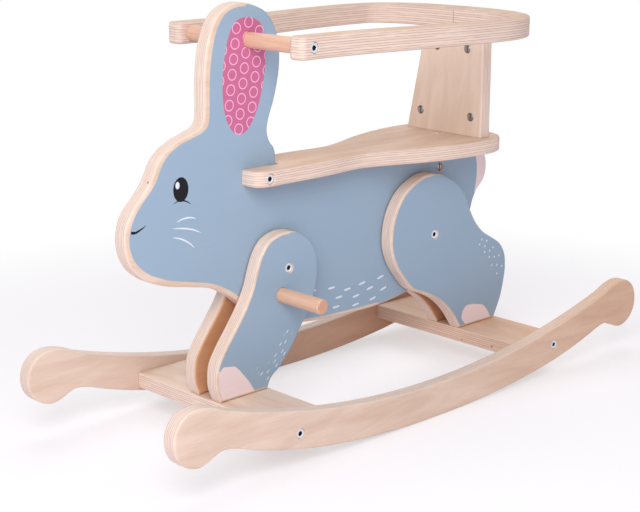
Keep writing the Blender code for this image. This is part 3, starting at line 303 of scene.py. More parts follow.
def runner_outline(spacing):
    """A flattened arc below, a plain arc above and a knob at each end.

    The sole's height is 39 (0.72 p^2 + 0.28 p^4) at the share p of its half length, less what leaves its
    middle flat on the floor. The front end is bent up and the rear end down by 3 q^2, at the share q of the
    way from the flat to the top's end.
    """
    def rise(y):
        """The arc's height at y."""
        part = y / SOLE_HALF
        return SOLE_RISE * ((1 - SOLE_QUARTIC) * part ** 2 + SOLE_QUARTIC * part ** 4)

    y = np.linspace(-SOLE_HALF, SOLE_HALF, ARC_POINTS)
    sole = np.stack([y, np.maximum(rise(y) - rise(SOLE_FLAT), 0.0)], axis=1)
    y = np.linspace(RUNNER_TOP_HALF, -RUNNER_TOP_HALF, ARC_POINTS)
    top = np.stack([y, RUNNER_DEPTH + RUNNER_TOP_RADIUS - np.sqrt(RUNNER_TOP_RADIUS ** 2 - y ** 2)], axis=1)
    knob = smooth([sole[-1], *KNOB, top[0]])
    other = knob[::-1] * (-1, 1)
    whole = np.vstack([sole[:-1], knob[:-1], top[:-1], other])
    reach = np.maximum(np.abs(whole[:, 0]) - SOLE_FLAT, 0.0) / RUNNER_TOP_HALF
    whole[:, 1] -= END_LIFT * reach ** 2 * np.sign(whole[:, 0])
    return closed(even(whole, spacing))


def body_outline(spacing):
    """Tail, belly, head and ear in one smooth line, then down the nape and back under the seat."""
    line = even(smooth(BODY), spacing, CORNER_RUN)
    nape = even([(NECK_Y, SEAT_TOP), (NECK_Y, BODY_TOP)], spacing)
    under_seat = even([(NECK_Y, BODY_TOP), BODY[0]], CORNER_RUN, CORNER_RUN)
    return closed(line, nape, under_seat)


def leg_outline(points, spacing):
    """A leg: its smooth line, closed by the flat foot."""
    foot = even([points[-1], points[0]], CORNER_RUN, CORNER_RUN)
    return closed(even(smooth(points), spacing, CORNER_RUN), foot)


def seat_outline(spacing):
    """A saddle with two prongs: both sides, then the slot that takes the neck, its corners relieved."""
    half = np.vstack([[(LEG_INNER, SEAT[0][1])], smooth(SEAT)])
    left = even(half, spacing, CORNER_RUN)
    right = left[::-1] * (-1, 1)
    wide = LEG_INNER + SLOT_RELIEF
    cheek = np.array([(LEG_INNER, SEAT[0][1]), (LEG_INNER, SLOT_RELIEF_Y),
                      (wide, SLOT_RELIEF_Y + SLOT_RELIEF), (wide, SLOT_ROOT_Y - SLOT_RELIEF),
                      (LEG_INNER, SLOT_ROOT_Y)])
    slot = np.vstack([cheek * (-1, 1), cheek[::-1]])
    return closed(left, right, slot)


def rail_outline(side, spacing):
    """Half the guard rail: a blunt front end, a flared arm and half of the rear bar.

    The arm's half width is 108.5 + 26.5 p^2 (3 - 2 p) at the share p of its length. The rear corners are
    quarters of a superellipse: x = half cos(a)^0.8, y = start + (end - start) sin(a)^0.8. The front ones
    are quarter rounds.
    """
    def corner(half, start, end):
        """A rear corner's line, from (half, start) to the joint at `end`."""
        angle = np.linspace(0.0, pi / 2, CORNER_POINTS)
        power = 2 / RAIL_CORNER_POWER
        x = half * np.clip(np.cos(angle), 0, 1) ** power
        return np.stack([np.maximum(x, FIT / 2), start + (end - start) * np.sin(angle) ** power], axis=1)

    angle = np.linspace(pi, 1.5 * pi, END_POINTS)
    quarter = np.stack([np.cos(angle), np.sin(angle)], axis=1) * RAIL_END_RADIUS
    middle = np.array([RAIL_FRONT_HALF - RAIL_WIDTH / 2, RAIL_END + RAIL_END_RADIUS])
    shift = np.array([RAIL_WIDTH / 2 - RAIL_END_RADIUS, 0.0])
    end = np.vstack([middle - shift + quarter, middle + shift + quarter[::-1] * (-1, 1)])
    part = np.linspace(0.0, 1.0, CORNER_POINTS)
    y = RAIL_FLARE_START + (RAIL_CORNER - RAIL_FLARE_START) * part
    x = RAIL_FRONT_HALF + (RAIL_REAR_HALF - RAIL_FRONT_HALF) * part ** 2 * (3 - 2 * part)
    arm = np.stack([x, y], axis=1)
    outer = np.vstack([arm[:-1], corner(RAIL_REAR_HALF, RAIL_CORNER, RAIL_REAR)])
    inner = np.vstack([arm[:-1] - (RAIL_WIDTH, 0.0),
                       corner(RAIL_REAR_HALF - RAIL_WIDTH, RAIL_INNER_CORNER, RAIL_INNER_REAR)])
    line = even(np.vstack([inner[::-1], end, outer]), spacing, CORNER_RUN)
    butt = even([line[-1], line[0]], CORNER_RUN, CORNER_RUN)
    return closed(line * (side, 1), butt * (side, 1))


# Surfaces

def inset(loop, distances):
    """Each point moved inwards until both edges that meet there lie as far in as `distances` says."""
    ahead = np.roll(loop, -1, axis=0) - loop
    ahead /= np.linalg.norm(ahead, axis=1)[:, None]
    after = np.stack([-ahead[:, 1], ahead[:, 0]], axis=1)
    before = np.roll(after, 1, axis=0)
    d2, d1 = distances[:, None], np.roll(distances, 1)[:, None]
    cross = (before[:, 0] * after[:, 1] - before[:, 1] * after[:, 0])[:, None]
    both = 1 + np.sum(before * after, axis=1)[:, None]
    gentle = (before + after) / np.maximum(both, 0.2) * (d1 + d2) / 2
    is_gentle = np.abs(cross) < SHARP_TURN
    safe = np.where(is_gentle, 1.0, cross)
    first = (d1 * after[:, 1:] - d2 * before[:, 1:]) / safe
    second = (d2 * before[:, :1] - d1 * after[:, :1]) / safe
    return loop + np.where(is_gentle, gentle, np.hstack([first, second]))


def rim(loop, low, high, radii, steps):
    """A plate's edge: a quarter round, a flat and a quarter round carried along the loop.

    At the angle a from a face, the line lies r (1 - sin a) inside the outline and r (1 - cos a) below the
    face. Returns rows of (u, v, w) points from the low face's border to the high one's.
    """
    radii_at = np.maximum(radii, np.roll(radii, 1))
    rows = []
    for a in np.linspace(0.0, pi / 2, steps + 1):
        flat = inset(loop, radii * (1 - sin(a)))
        rows.append(np.column_stack([flat, low + radii_at * (1 - cos(a))]))
    upper = [np.column_stack([row[:, :2], high + low - row[:, 2]]) for row in reversed(rows)]
    return np.array(rows + upper)


def filled(border, lines):
    """Flat triangles inside a border that keep each line as edges, as pairs (line, whether it closes).

    Returns the points that aren't the border's, and triangles that count the border's points first.
    """
    points, edges = list(border), []
    count = len(border)
    edges += [(i, (i + 1) % count) for i in range(count)]
    for line, closes in lines:
        start = len(points)
        ids = list(range(start, start + len(line)))
        points += list(line)
        if closes:
            edges += list(zip(ids, ids[1:] + ids[:1]))
        else:
            ends = [int(np.argmin(np.linalg.norm(border - line[i], axis=1))) for i in (0, -1)]
            ids = [ends[0], *ids, ends[1]]
            edges += list(zip(ids, ids[1:]))
    found, _, faces, origin, _, _ = delaunay_2d_cdt([Vector(p) for p in points], edges, [], 0, WELD, True)
    at = np.array(found)
    number = np.full(len(at), -1)
    for index, sources in enumerate(origin):
        if sources and min(sources) < count:
            number[index] = min(sources)
    fresh = number < 0
    number[fresh] = count + np.arange(fresh.sum())
    faces = np.array(faces)
    corner = at[faces]
    faces = faces[inside(corner.mean(axis=1), border)]
    corner = at[faces]
    one, two = corner[:, 1] - corner[:, 0], corner[:, 2] - corner[:, 0]
    turned_over = one[:, 0] * two[:, 1] < one[:, 1] * two[:, 0]
    faces[turned_over] = faces[turned_over][:, ::-1]
    return at[fresh], number[faces]


def mesh_of(name, points, faces, materials, indices=None, sharp=WOOD_SHARP):
    """A mesh in metres, shaded smooth except where it turns by more than the `sharp` angle."""
    mesh = bpy.data.meshes.new(name)
    mesh.from_pydata(np.asarray(points, float) * MM, [], faces)
    for material in materials:
        mesh.materials.append(material)
    if indices is not None:
        mesh.polygons.foreach_set("material_index", np.asarray(indices, np.int32))
    mesh.validate()
    mesh.shade_smooth()
    mesh.set_sharp_from_angle(angle=radians(sharp))
    return mesh


def object_of(mesh):
    """An object of the mesh's name that shows it in the scene."""
    item = bpy.data.objects.new(mesh.name, mesh)
    bpy.context.scene.collection.objects.link(item)
    return item


def plate(name, loop, axes, low, high, radius, materials, steps, shapes=(), painted=(False, False)):
    """A plate with rounded rims. `radius` is a number, or a function of the edges' middles.

    Its name is its finish and its CAD node, inside whose box it stays. Each shape is (material index, line,
    whether it closes, the loops that hold its triangles), and later ones lie over earlier ones. `painted`
    says whether the low and the high face show them.
    """
    corners = np.array(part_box(name.partition("_")[2])) / MM
    loop = np.clip(loop, *corners[:, list(axes[:2])])
    middles = (loop + np.roll(loop, -1, axis=0)) / 2
    radii = radius(middles) if callable(radius) else np.full(len(loop), float(radius))
    rows = rim(loop, low, high, radii, steps)
    count, levels = len(loop), len(rows)
    border = rows[-1][:, :2]
    lines = [(tidy_line(line, border, closes), closes) for _, line, closes, _ in shapes]
    extra, triangles = filled(border, lines)
    index = coat(np.vstack([border, extra])[triangles].mean(axis=1), shapes)
    points = np.vstack([rows.reshape(-1, 3), np.column_stack([extra, np.full(len(extra), low)]),
                        np.column_stack([extra, np.full(len(extra), high)])])
    ring, more = np.arange(count), levels * count + np.arange(len(extra))
    low_ids = np.concatenate([ring, more])
    high_ids = np.concatenate([ring + (levels - 1) * count, more + len(extra)])
    faces = bands(levels, count) + low_ids[triangles][:, ::-1].tolist() + high_ids[triangles].tolist()
    edge = rim_paint(border, levels, steps, shapes, painted)
    placed = np.empty_like(points)
    placed[:, axes] = points
    return object_of(mesh_of(name, placed, faces, materials,
                             np.concatenate([edge, index * painted[0], index * painted[1]])))


def coat(points, shapes):
    """Which material each point of a painted face takes: the last shape's that holds it, or the blue."""
    index = np.full(len(points), BLUE)
    for material, _, _, holders in shapes:
        index[np.all([inside(points, holder) for holder in holders], axis=0)] = material
    return index


def rim_paint(border, levels, steps, shapes, painted):
    """The rim's materials: bare, but a painted face's coat reaches over its shoulder on the rear side.

    It covers up to 0.8 of the rounding, in proportion to how far the rim faces the rear.
    """
    ahead = np.roll(border, -1, axis=0) - border
    outward = ahead[:, ::-1] * (1, -1) / np.linalg.norm(ahead, axis=1)[:, None]
    shoulder = coat(border + ahead / 2 - outward * SHOULDER_PROBE, shapes)
    reach = np.clip(outward[:, 0] / SHOULDER_TURN, 0.0, 1.0) * steps * SHOULDER_SHARE
    edge = np.zeros((levels - 1, len(border)), int)
    for row in range(steps):
        over = np.where(row + 0.5 < reach, shoulder, BARE)
        edge[row] = over * painted[0]
        edge[levels - 2 - row] = over * painted[1]
    return edge.ravel()


def tidy_line(line, border, closes):
    """An open line without the points that lie outside the border or too near it."""
    if closes:
        return np.asarray(line, float)
    line = even(smooth(line), PAINT_SPACING)
    near = np.linalg.norm(line[:, None] - border[None], axis=2).min(axis=1) < PAINT_CLEAR
    return line[inside(line, border) & ~near]


def bands(levels, count, ring=False):
    """Quads between each row of a closed grid and the next, and from the last to the first in a ring."""
    step = np.arange(count)
    after = np.roll(step, -1)
    pairs = [(level, level + 1) for level in range(levels - 1)] + [(levels - 1, 0)] * ring
    quads = [np.stack([a * count + step, a * count + after, b * count + after, b * count + step], axis=1)
             for a, b in pairs]
    return np.vstack(quads).tolist()


def turned(profile, sides):
    """A profile of (height, radius) rows turned round +Z. A third value in a row makes it a hexagon.

    A point lies at (r cos a, r sin a, h). A hexagon's r is its half width over cos(a mod 60 deg - 30 deg).
    """
    angle = np.arange(sides) * 2 * pi / sides
    height = np.array([row[0] for row in profile], float)[:, None]
    radius = np.array([row[1] for row in profile], float)[:, None]
    hexed = np.array([len(row) > 2 for row in profile])[:, None]
    reach = radius * np.where(hexed, 1 / np.cos(angle % (pi / 3) - pi / 6), 1.0)
    height = np.broadcast_to(height, reach.shape)
    return np.stack([reach * np.cos(angle), reach * np.sin(angle), height], axis=-1)


def turned_faces(levels, sides, ring=False):
    """The faces of a turned grid, joined into a ring or closed by a flat face at each end."""
    if ring:
        return bands(levels, sides, ring)
    step = np.arange(sides)
    return bands(levels, sides) + [step[::-1].tolist(), ((levels - 1) * sides + step).tolist()]


def aimed(points, place, direction, across=None):
    """The points with +Z turned to `direction`, +Y to `across`, and the origin moved to `place`."""
    ahead = np.asarray(direction, float)
    if across is None:
        across = TOWARDS_Y if abs(ahead[Z]) > 0.5 else TOWARDS_Z
    side = np.asarray(across, float)
    basis = np.stack([np.cross(side, ahead), side, ahead])
    return points.reshape(-1, 3) @ basis + np.asarray(place, float)


def turned_mesh(name, profile, sides, materials, place, direction, across=None, ring=False):
    """A turned piece, whose hexagonal socket takes the second material where there is one."""
    faces = turned_faces(len(profile), sides, ring)
    hexed = [len(row) > 2 for row in profile]
    socket = [a and (b or row[1] < THREAD / 2) for a, b, row in zip(hexed, hexed[1:], profile[1:])]
    indices = np.zeros(len(faces), int)
    if len(materials) > 1 and any(hexed):
        indices[:len(socket) * sides] = np.repeat(socket, sides)
        indices[-1] = not ring
    grid = turned(profile, sides)
    return mesh_of(name, aimed(grid, place, direction, across), faces, materials, indices)


def turned_piece(name, profile, sides, materials, place, direction, sharp=WOOD_SHARP, ring=False):
    """A turned piece in its place, finished."""
    mesh = turned_mesh(name, profile, sides, materials, place, direction, ring=ring)
    return finished(object_of(mesh), sharp=sharp)


# Holes

def bolt_hole(surface, outward, depth, radius=THREAD + FIT):
    """A counterbore with an eased mouth, for a sunk bolt, as (start, direction, profile)."""
    wide, floor = HEAD + FIT, BOLT_SEAT + FIT
    rows = ((-PROUD, wide + PROUD + HEAD_MOUTH_EASE), (HEAD_MOUTH_EASE, wide), (floor, wide),
            (floor, radius), (depth, radius))
    return np.asarray(surface, float), -np.asarray(outward, float), rows


def plain_hole(start, direction, depth, radius, mouth=0.0):
    """A straight hole from its start, which begins `mouth` before it."""
    return np.asarray(start, float), np.asarray(direction, float), ((-mouth, radius), (depth, radius))


def thread_hole(start, direction):
    """A bolt's hole from a board's edge to a little past its barrel nut."""
    return plain_hole(start, direction, NUT_DEPTH + THREAD_REACH, THREAD + FIT, FIT)


def pin_hole(start, direction):
    """A blind hole for half a locating pin."""
    return plain_hole(start, direction, PIN_LENGTH / 2, PIN + FIT, FIT)


def through_hole(place, low, high, radius):
    """A hole through an upright plate along X, both mouths eased by a small cone."""
    y, z = place
    wide = radius + PROUD + MOUTH_EASE
    rows = ((low - PROUD, wide), (low + MOUTH_EASE, radius), (high - MOUTH_EASE, radius),
            (high + PROUD, wide))
    return np.array([0.0, y, z]), TOWARDS_X, rows


def nut_hole(middle, slotted_end):
    """A blind hole for a barrel nut, from the plate's middle plane out through the face it goes in by."""
    reach, radius = NUT_TAIL + FIT, NUT + FIT
    out = reach + PLY / 2
    rows = ((0.0, radius), (out - MOUTH_EASE, radius), (out + PROUD, radius + PROUD + MOUTH_EASE))
    return np.asarray(middle, float) - np.asarray(slotted_end, float) * reach, slotted_end, rows


def drilled(item, holes, sides, sharp=WOOD_SHARP, cutters=()):
    """The piece with other cutters' shapes and then the holes cut away one by one, and finished."""
    wall = bored_wall(item)
    drills = [object_of(turned_mesh("drill", profile, sides, [wall], start, direction))
              for start, direction, profile in holes]
    cutters = [*cutters, *drills]
    for cutter in cutters:
        cut = item.modifiers.new("hole", "BOOLEAN")
        cut.operation, cut.solver, cut.object = "DIFFERENCE", "MANIFOLD", cutter
    return finished(item, cutters, sharp)


def bored_wall(item):
    """What a hole's wall shows: the metal itself in a nut, and in wood dark end grain that also paints the
    shade inside the hole.
    """
    own = item.data.materials[0]
    if own.name.endswith("zinc"):
        return own
    return bpy.data.materials.get(BORED_SHADE) or bored_birch(BORED_SHADE, settings(bpy.context)[1].bored_shade)


def finished(item, cutters=(), sharp=WOOD_SHARP):
    """The piece with its modifiers applied, its flats shaded flat, and its cutters gone."""
    def applied():
        """The piece's new mesh, made by its modifiers."""
        mesh = bpy.data.meshes.new_from_object(item.evaluated_get(bpy.context.evaluated_depsgraph_get()))
        old = item.data
        item.modifiers.clear()
        item.data = mesh
        bpy.data.meshes.remove(old)
        mesh.name = item.name
        return mesh

    mesh = applied()
    for cutter in cutters:
        old = cutter.data
        bpy.data.objects.remove(cutter)
        bpy.data.meshes.remove(old)
    edges = np.empty(len(mesh.loops), int)
    mesh.loops.foreach_get("edge_index", edges)
    if not len(edges) or np.any(np.bincount(edges) != 2):
        raise RuntimeError(f"{item.name} isn't closed, so its holes weren't cut")
    mesh.shade_smooth()
    mesh.set_sharp_from_angle(angle=radians(sharp))
    weighted = item.modifiers.new("flats", "WEIGHTED_NORMAL")
    weighted.keep_sharp = True
    weighted.weight = 80
    applied()
    return item


# Shading

class Value:
    """What a socket gives, a number or a colour. Arithmetic on a number adds Math nodes to its tree."""

    def __init__(self, recipe, socket):
        self.recipe, self.socket = recipe, socket

    def __add__(self, other):
        return self.recipe.maths("ADD", self, other)

    __radd__ = __add__

    def __sub__(self, other):
        return self.recipe.maths("SUBTRACT", self, other)

    def __rsub__(self, other):
        return self.recipe.maths("SUBTRACT", other, self)

    def __mul__(self, other):
        return self.recipe.maths("MULTIPLY", self, other)

    def __truediv__(self, other):
        return self.recipe.maths("DIVIDE", self, other)

    def __mod__(self, other):
        return self.recipe.maths("MODULO", self, other)

    def __abs__(self):
        return self.recipe.maths("ABSOLUTE", self)

    def __gt__(self, other):
        return self.recipe.maths("GREATER_THAN", self, other)

    def __lt__(self, other):
        return self.recipe.maths("LESS_THAN", self, other)

    def whole(self):
        """The number without its fraction."""
        return self.recipe.maths("FLOOR", self)

    def sign(self):
        """1, 0 or -1, as the number is above, at or below 0."""
        return self.recipe.maths("SIGN", self)

    def at_least(self, other):
        """The greater of this and `other`."""
        return self.recipe.maths("MAXIMUM", self, other)

    def at_most(self, other):
        """The lesser of this and `other`."""
        return self.recipe.maths("MINIMUM", self, other)

    def blend(self, first, second):
        """`first` where this is 0 and `second` where it is 1."""
        return self * (second - first) + first

    def rise(self, start, end):
        """0 up to `start`, 1 from `end`, and smooth between them. It falls where start is the greater."""
        low, high, out_low, out_high = (start, end, 0.0, 1.0) if start < end else (end, start, 1.0, 0.0)
        node = self.recipe.add("ShaderNodeMapRange", {"interpolation_type": "SMOOTHSTEP"},
                               {0: self, 1: low, 2: high, 3: out_low, 4: out_high})
        return Value(self.recipe, node.outputs[0])


class Nodes:
    """A node tree, built up by short calls."""

    def __init__(self, tree):
        self.tree = tree

    def set(self, node, inputs):
        """Values and links for a node's sockets, by their names or numbers."""
        for key, value in inputs.items():
            if isinstance(value, Value):
                self.tree.links.new(value.socket, node.inputs[key])
            else:
                node.inputs[key].default_value = value

    def add(self, kind, settings=None, inputs=None):
        """One node: its settings first, then the values and links of its sockets."""
        node = self.tree.nodes.new(kind)
        for key, value in (settings or {}).items():
            setattr(node, key, value)
        self.set(node, inputs or {})
        return node

    def maths(self, operation, *parts):
        """A Math node's result."""
        node = self.add("ShaderNodeMath", {"operation": operation}, dict(enumerate(parts)))
        return Value(self, node.outputs[0])

    def seen(self):
        """1 for rays from the camera, also by way of metal or glass, and 0 for the rest."""
        rays = self.add("ShaderNodeLightPath")
        camera, glossy, through = (Value(self, rays.outputs[f"Is {kind} Ray"])
                                   for kind in ("Camera", "Glossy", "Transmission"))
        return camera.at_least(glossy).at_least(through)

    def joined(self, first, second, share, output):
        """Mixes two shaders into the tree's output."""
        mix = self.add("ShaderNodeMixShader", None, {0: share, 1: Value(self, first.outputs[0]),
                                                     2: Value(self, second.outputs[0])})
        self.set(self.tree.nodes[output], {"Surface": Value(self, mix.outputs[0])})


class Recipe(Nodes):
    """A material, built up from coordinates in millimetres."""

    def __init__(self, name, roughness=0.5, metallic=0.0, coat=0.0, specular=0.5):
        self.material = bpy.data.materials.new(name)
        self.material.use_nodes = True
        super().__init__(self.material.node_tree)
        self.shader = self.tree.nodes["Principled BSDF"]
        self.set(self.shader, {"Roughness": roughness, "Metallic": metallic, "Coat Weight": coat,
                               "Specular IOR Level": specular})
        self.source = self.add("ShaderNodeTexCoord")

    def split(self, socket, scale=1.0):
        """The three parts of a vector."""
        node = self.add("ShaderNodeSeparateXYZ", None, {0: Value(self, socket)})
        parts = [Value(self, output) for output in node.outputs]
        return [part * scale for part in parts] if scale != 1.0 else parts

    def place(self, lean=0.0):
        """The point's x, y and z in millimetres, turned about X by `lean`."""
        node = self.add("ShaderNodeMapping", {"vector_type": "POINT"},
                        {0: Value(self, self.source.outputs["Object"]), "Rotation": (lean, 0.0, 0.0)})
        return self.split(node.outputs[0], 1 / MM)

    def facing(self):
        """The three parts of the surface's normal."""
        return self.split(self.source.outputs["Normal"])

    def noise(self, x, y, z, detail=2.0, roughness=0.5, distortion=0.0):
        """Smooth noise about 0.5, one lump for each unit of x, y and z."""
        point = self.add("ShaderNodeCombineXYZ", None, {0: x, 1: y, 2: z})
        node = self.add("ShaderNodeTexNoise", {"noise_dimensions": "3D"},
                        {"Vector": Value(self, point.outputs[0]), "Scale": 1.0, "Detail": detail,
                         "Roughness": roughness, "Distortion": distortion})
        return Value(self, node.outputs[0])

    def mixed(self, first, second, share, kind="MIX"):
        """Two colours mixed. Each is a colour from here or three linear numbers."""
        colours = [c if isinstance(c, Value) else (*c, 1.0) for c in (first, second)]
        node = self.add("ShaderNodeMix", {"data_type": "RGBA", "blend_type": kind},
                        {0: share, 6: colours[0], 7: colours[1]})
        return Value(self, node.outputs[2])

    def shaded(self, colour, amount):
        """A colour made lighter or darker: times `amount`, a number near 1."""
        grey = self.add("ShaderNodeCombineColor", None, {0: amount, 1: amount, 2: amount})
        return self.mixed(colour, Value(self, grey.outputs[0]), 1.0, "MULTIPLY")

    def done(self, colour, roughness, height, depth):
        """Links what varies to the shader. `height` raises the surface by up to `depth` millimetres."""
        bump = self.add("ShaderNodeBump", None, {"Height": height, "Distance": depth * MM, "Strength": 1.0})
        self.set(self.shader, {"Base Color": colour, "Roughness": roughness,
                               "Normal": Value(self, bump.outputs[0])})
        return self.material


def birch(name, across, low, along, tones, thickness=PLY, plies=7, mirrored=True, lean=0.0, contrast=1.0,
          deep=0.42, lines=0.8, voids=0.82, butt=0.0, inner_warmth=0.0, warm_from=(-400, -300),
          rear_warmth=0.0):
    """Birch plywood as a solid: each ply's fibres run along or across, with thin glue lines between them.

    `across` is the axis through the plies, which start at `low` (on both sides of X = 0 where mirrored),
    and `along` is the axis of the outer plies' fibres. `deep` is the mean share of dark wood; the seat and
    the rail raise it, which paints shade on their tops. `lines` says how dark the glue shows, and fewer gaps
    open the nearer `voids` is to 1. `butt` darkens a joint at X = 0 within that distance. The inner and rear
    shade arguments paint warm shade on the faces turned towards X = 0, rising from one y to another, and on
    the wood towards the rear. A noise's divisors are the length and the breadth of its lumps.
    """
    light, dark, glue, void, sawn, warm = tones
    recipe = Recipe(name, roughness=0.55, specular=0.35)
    place = recipe.place(lean)
    facing = recipe.facing()
    other = 3 - across - along
    through = abs(place[across]) if mirrored else place[across]
    u, v = place[along], place[other]
    sway = recipe.noise(u / 46, v / 46, through / 60, 1.0) - 0.5
    depth = (through - low) * (plies / thickness)
    layer = (depth + sway * 0.16).at_least(0.08).at_most(plies - 0.08)
    number = layer.whole()
    crossed = number % 2.0
    fibre, breadth = crossed.blend(u, v), crossed.blend(v, u)
    ending = crossed.blend(abs(facing[along]), abs(facing[other]))
    streak = recipe.noise(fibre / 22, breadth / 0.9, depth * 1.3 + number * 7.3, 3.0, 0.6)
    figure = recipe.noise(fibre / 95, breadth / 17, number * 5.1 + depth * 0.15, 2.0, 0.5, 0.6)
    pores = recipe.noise(fibre / 3.2, breadth / 0.28, depth * 2.1, 2.0, 0.6)
    fleck = recipe.noise(u / 0.5, v / 0.5, depth * 3.0, 2.0, 0.6)
    edge = (1 - abs(facing[across])).rise(0.05, 0.7)
    joint = (layer + 0.5).whole()
    seam = abs(layer - joint) * (thickness / plies)
    glue_line = seam.rise(0.36, 0.08) * recipe.noise(u / 30, v / 30, joint * 3.7, 1.0).rise(0.2, 0.55)
    rough_end = recipe.noise(breadth / 11, depth * 1.7, fibre / 11, 2.0)
    hollow = recipe.noise(u / 11, v / 11, number * 11.3, 1.0).rise(voids, voids + 0.02)
    inner = (number > 0.5) * (number < plies - 1.5)
    hollow = hollow * inner * edge.rise(0.5, 0.9) * (1 - seam.rise(0.5, 0.2))
    share = (streak - 0.5) * 0.55 + (figure - 0.5) * 1.1 + deep + (pores - 0.5) * 0.3
    share = (share * contrast).at_least(0.0).at_most(1.0)
    sawn_share = edge * (1.02 - ending * 0.3 - rough_end * 0.3).at_most(0.92)
    colour = recipe.mixed(recipe.mixed(light, dark, share), sawn, sawn_share)
    # Painted shade: a warm darkening multiplied into the faces turned inwards and into the wood towards the
    # rear, standing in for shade and light bounced between the wooden parts
    if inner_warmth or rear_warmth:
        inward = (facing[X] * place[X].sign() * -1.0).rise(0.2, 0.8) * place[Y].rise(*warm_from)
        warmth = (inward * inner_warmth + place[Y].rise(*REAR_SHADE_SPAN) * rear_warmth).at_most(1.0)
        colour = recipe.mixed(colour, warm, warmth, "MULTIPLY")
    colour = recipe.mixed(colour, glue, glue_line * edge * lines)
    if butt:
        colour = recipe.mixed(colour, void, abs(place[X]).rise(butt, butt * 0.4) * 0.45)
    colour = recipe.mixed(colour, void, hollow * 0.85)
    colour = recipe.shaded(colour, 0.97 + fleck * 0.06)
    rough = 0.5 + streak * 0.12 + ending * 0.1
    height = streak * 0.35 + pores * 0.5 + fleck * 0.15 - glue_line * 0.5 - hollow * 2.0
    return recipe.done(colour, rough, height, 0.06)


def bored_birch(name, colour):
    """The wall of a drilled hole: dark end grain with fine turning marks, darkened further as painted shade
    inside the hole.
    """
    recipe = Recipe(name, roughness=0.8, specular=0.2)
    x, y, z = recipe.place()
    grain = recipe.noise(x / 1.6, y / 1.6, z / 1.6, 3.0, 0.6)
    return recipe.done(recipe.shaded(colour, 0.75 + grain * 0.5), 0.8, grain, 0.05)


def blue_paint(name, colour):
    """Satin paint over planed plywood: the grain shows as faint level streaks, the roller as orange peel."""
    recipe = Recipe(name, coat=0.03, specular=0.3)
    x, y, z = recipe.place()
    grain = recipe.noise(y / 55, z / 1.3, x / 20, 3.0, 0.6)
    slow = recipe.noise(y / 120, z / 34, x / 60, 2.0)
    peel = recipe.noise(x / 0.9, y / 0.9, z / 0.9, 2.0)
    raised = recipe.noise(y / 14, z / 0.45, x / 9, 2.0, 0.7)
    shade = 0.955 + grain * 0.05 + slow * 0.04
    height = grain * 0.5 + peel * 0.3 + raised * 0.6
    return recipe.done(recipe.shaded(colour, shade), 0.46 + grain * 0.1, height, 0.05)


def print_ink(name, colour, unevenness, speckle, specks):
    """Ink or paint printed on the face: a slightly uneven coat, with a share of fine dark specks."""
    recipe = Recipe(name, specular=0.25)
    x, y, z = recipe.place()
    coat = recipe.noise(y / 3, z / 3, x / 30, 3.0, 0.6)
    grain = recipe.noise(y / 40, z / 1.1, x / 20, 2.0)
    base = recipe.shaded(colour, 1 - unevenness / 2 + (coat - 0.5) * unevenness + (grain - 0.5) * 0.05)
    if speckle:
        grit = recipe.noise(y / 0.55, z / 0.55, x / 30, 2.0, 0.7).rise(0.56, 0.68)
        base = recipe.mixed(base, specks, grit * speckle)
    return recipe.done(base, 0.42 + coat * 0.1, coat * 0.4 + grain * 0.4, 0.04)


def beech(name, light, dark):
    """Beech dowel along X: long grain with short dark flecks, and soft rings on its ends."""
    recipe = Recipe(name)
    x, y, z = recipe.place()
    facing = recipe.facing()
    end = abs(facing[X]).rise(0.6, 0.95)
    grain = recipe.noise(x / 40, y / 1.1, z / 1.1, 3.0, 0.6)
    fleck = recipe.noise(x / 2.6, y / 0.35, z / 0.35, 1.0).rise(0.6, 0.72)
    rings = recipe.noise(x / 60, y / 1.8, z / 5.5, 2.0, 0.5, 0.4)
    share = (grain - 0.5) * 0.9 + (rings - 0.5) * 0.8 + 0.4 + fleck * 0.25 + end * 0.45
    colour = recipe.mixed(light, dark, share.at_least(0.0).at_most(1.0))
    return recipe.done(colour, 0.45 + grain * 0.15, grain * 0.5 - fleck * 0.5, 0.05)


def zinc(name, colour):
    """Bright zinc on turned steel: a fine brushed sheen and slight clouding."""
    recipe = Recipe(name, roughness=0.3, metallic=1.0)
    x, y, z = recipe.place()
    cloud = recipe.noise(x / 3.5, y / 3.5, z / 3.5, 3.0)
    scratch = recipe.noise(x / 0.25, y / 1.5, z / 0.25, 2.0)
    return recipe.done(recipe.shaded(colour, 0.85 + cloud * 0.3), 0.2 + cloud * 0.16 + scratch * 0.06,
                       scratch * 0.5 + cloud * 0.3, 0.01)


def socket_painted_shade(name, colour):
    """Painted shade inside a bolt's socket: a dark colour with faint smears, where the recess lies in shade.
    """
    recipe = Recipe(name, roughness=0.5, specular=0.3)
    x, y, z = recipe.place()
    smear = recipe.noise(x / 2, y / 2, z / 2, 2.0)
    return recipe.done(recipe.shaded(colour, 0.8 + smear * 0.4), 0.4 + smear * 0.2, smear, 0.02)


def floor_paint(name, colour, lift):
    """A pale studio floor with its shadows, which the camera sees lifted towards white.

    `lift` is the share of plain white up to 420 mm from the middle. It rises to 1 at 900 mm.
    """
    recipe = Recipe(name, roughness=0.9, specular=0.0)
    recipe.set(recipe.shader, {"Base Color": (*colour, 1.0)})
    x, y, _ = recipe.place()
    far = (x * x + y * y).rise(FLOOR_NEAR ** 2, FLOOR_FAR ** 2)
    recipe.joined(recipe.shader, recipe.add("ShaderNodeEmission"), recipe.seen() * far.blend(lift, 1.0),
                  "Material Output")
    return recipe.material


def srgb(red, green, blue):
    """A colour as it shows on a screen, 0 to 255, in the linear numbers that a shader takes."""
    parts = np.array([red, green, blue]) / 255
    linear = np.where(parts <= 0.04045, parts / 12.92, ((parts + 0.055) / 1.055) ** 2.4)
    return tuple(float(part) for part in linear)


# Painted shapes

def round_shape(centre, half, count=40):
    """An ellipse: its centre plus (half width cos a, half height sin a)."""
    angle = np.arange(count) * 2 * pi / count
    return np.array(centre) + np.stack([half[0] * np.cos(angle), half[1] * np.sin(angle)], axis=1)


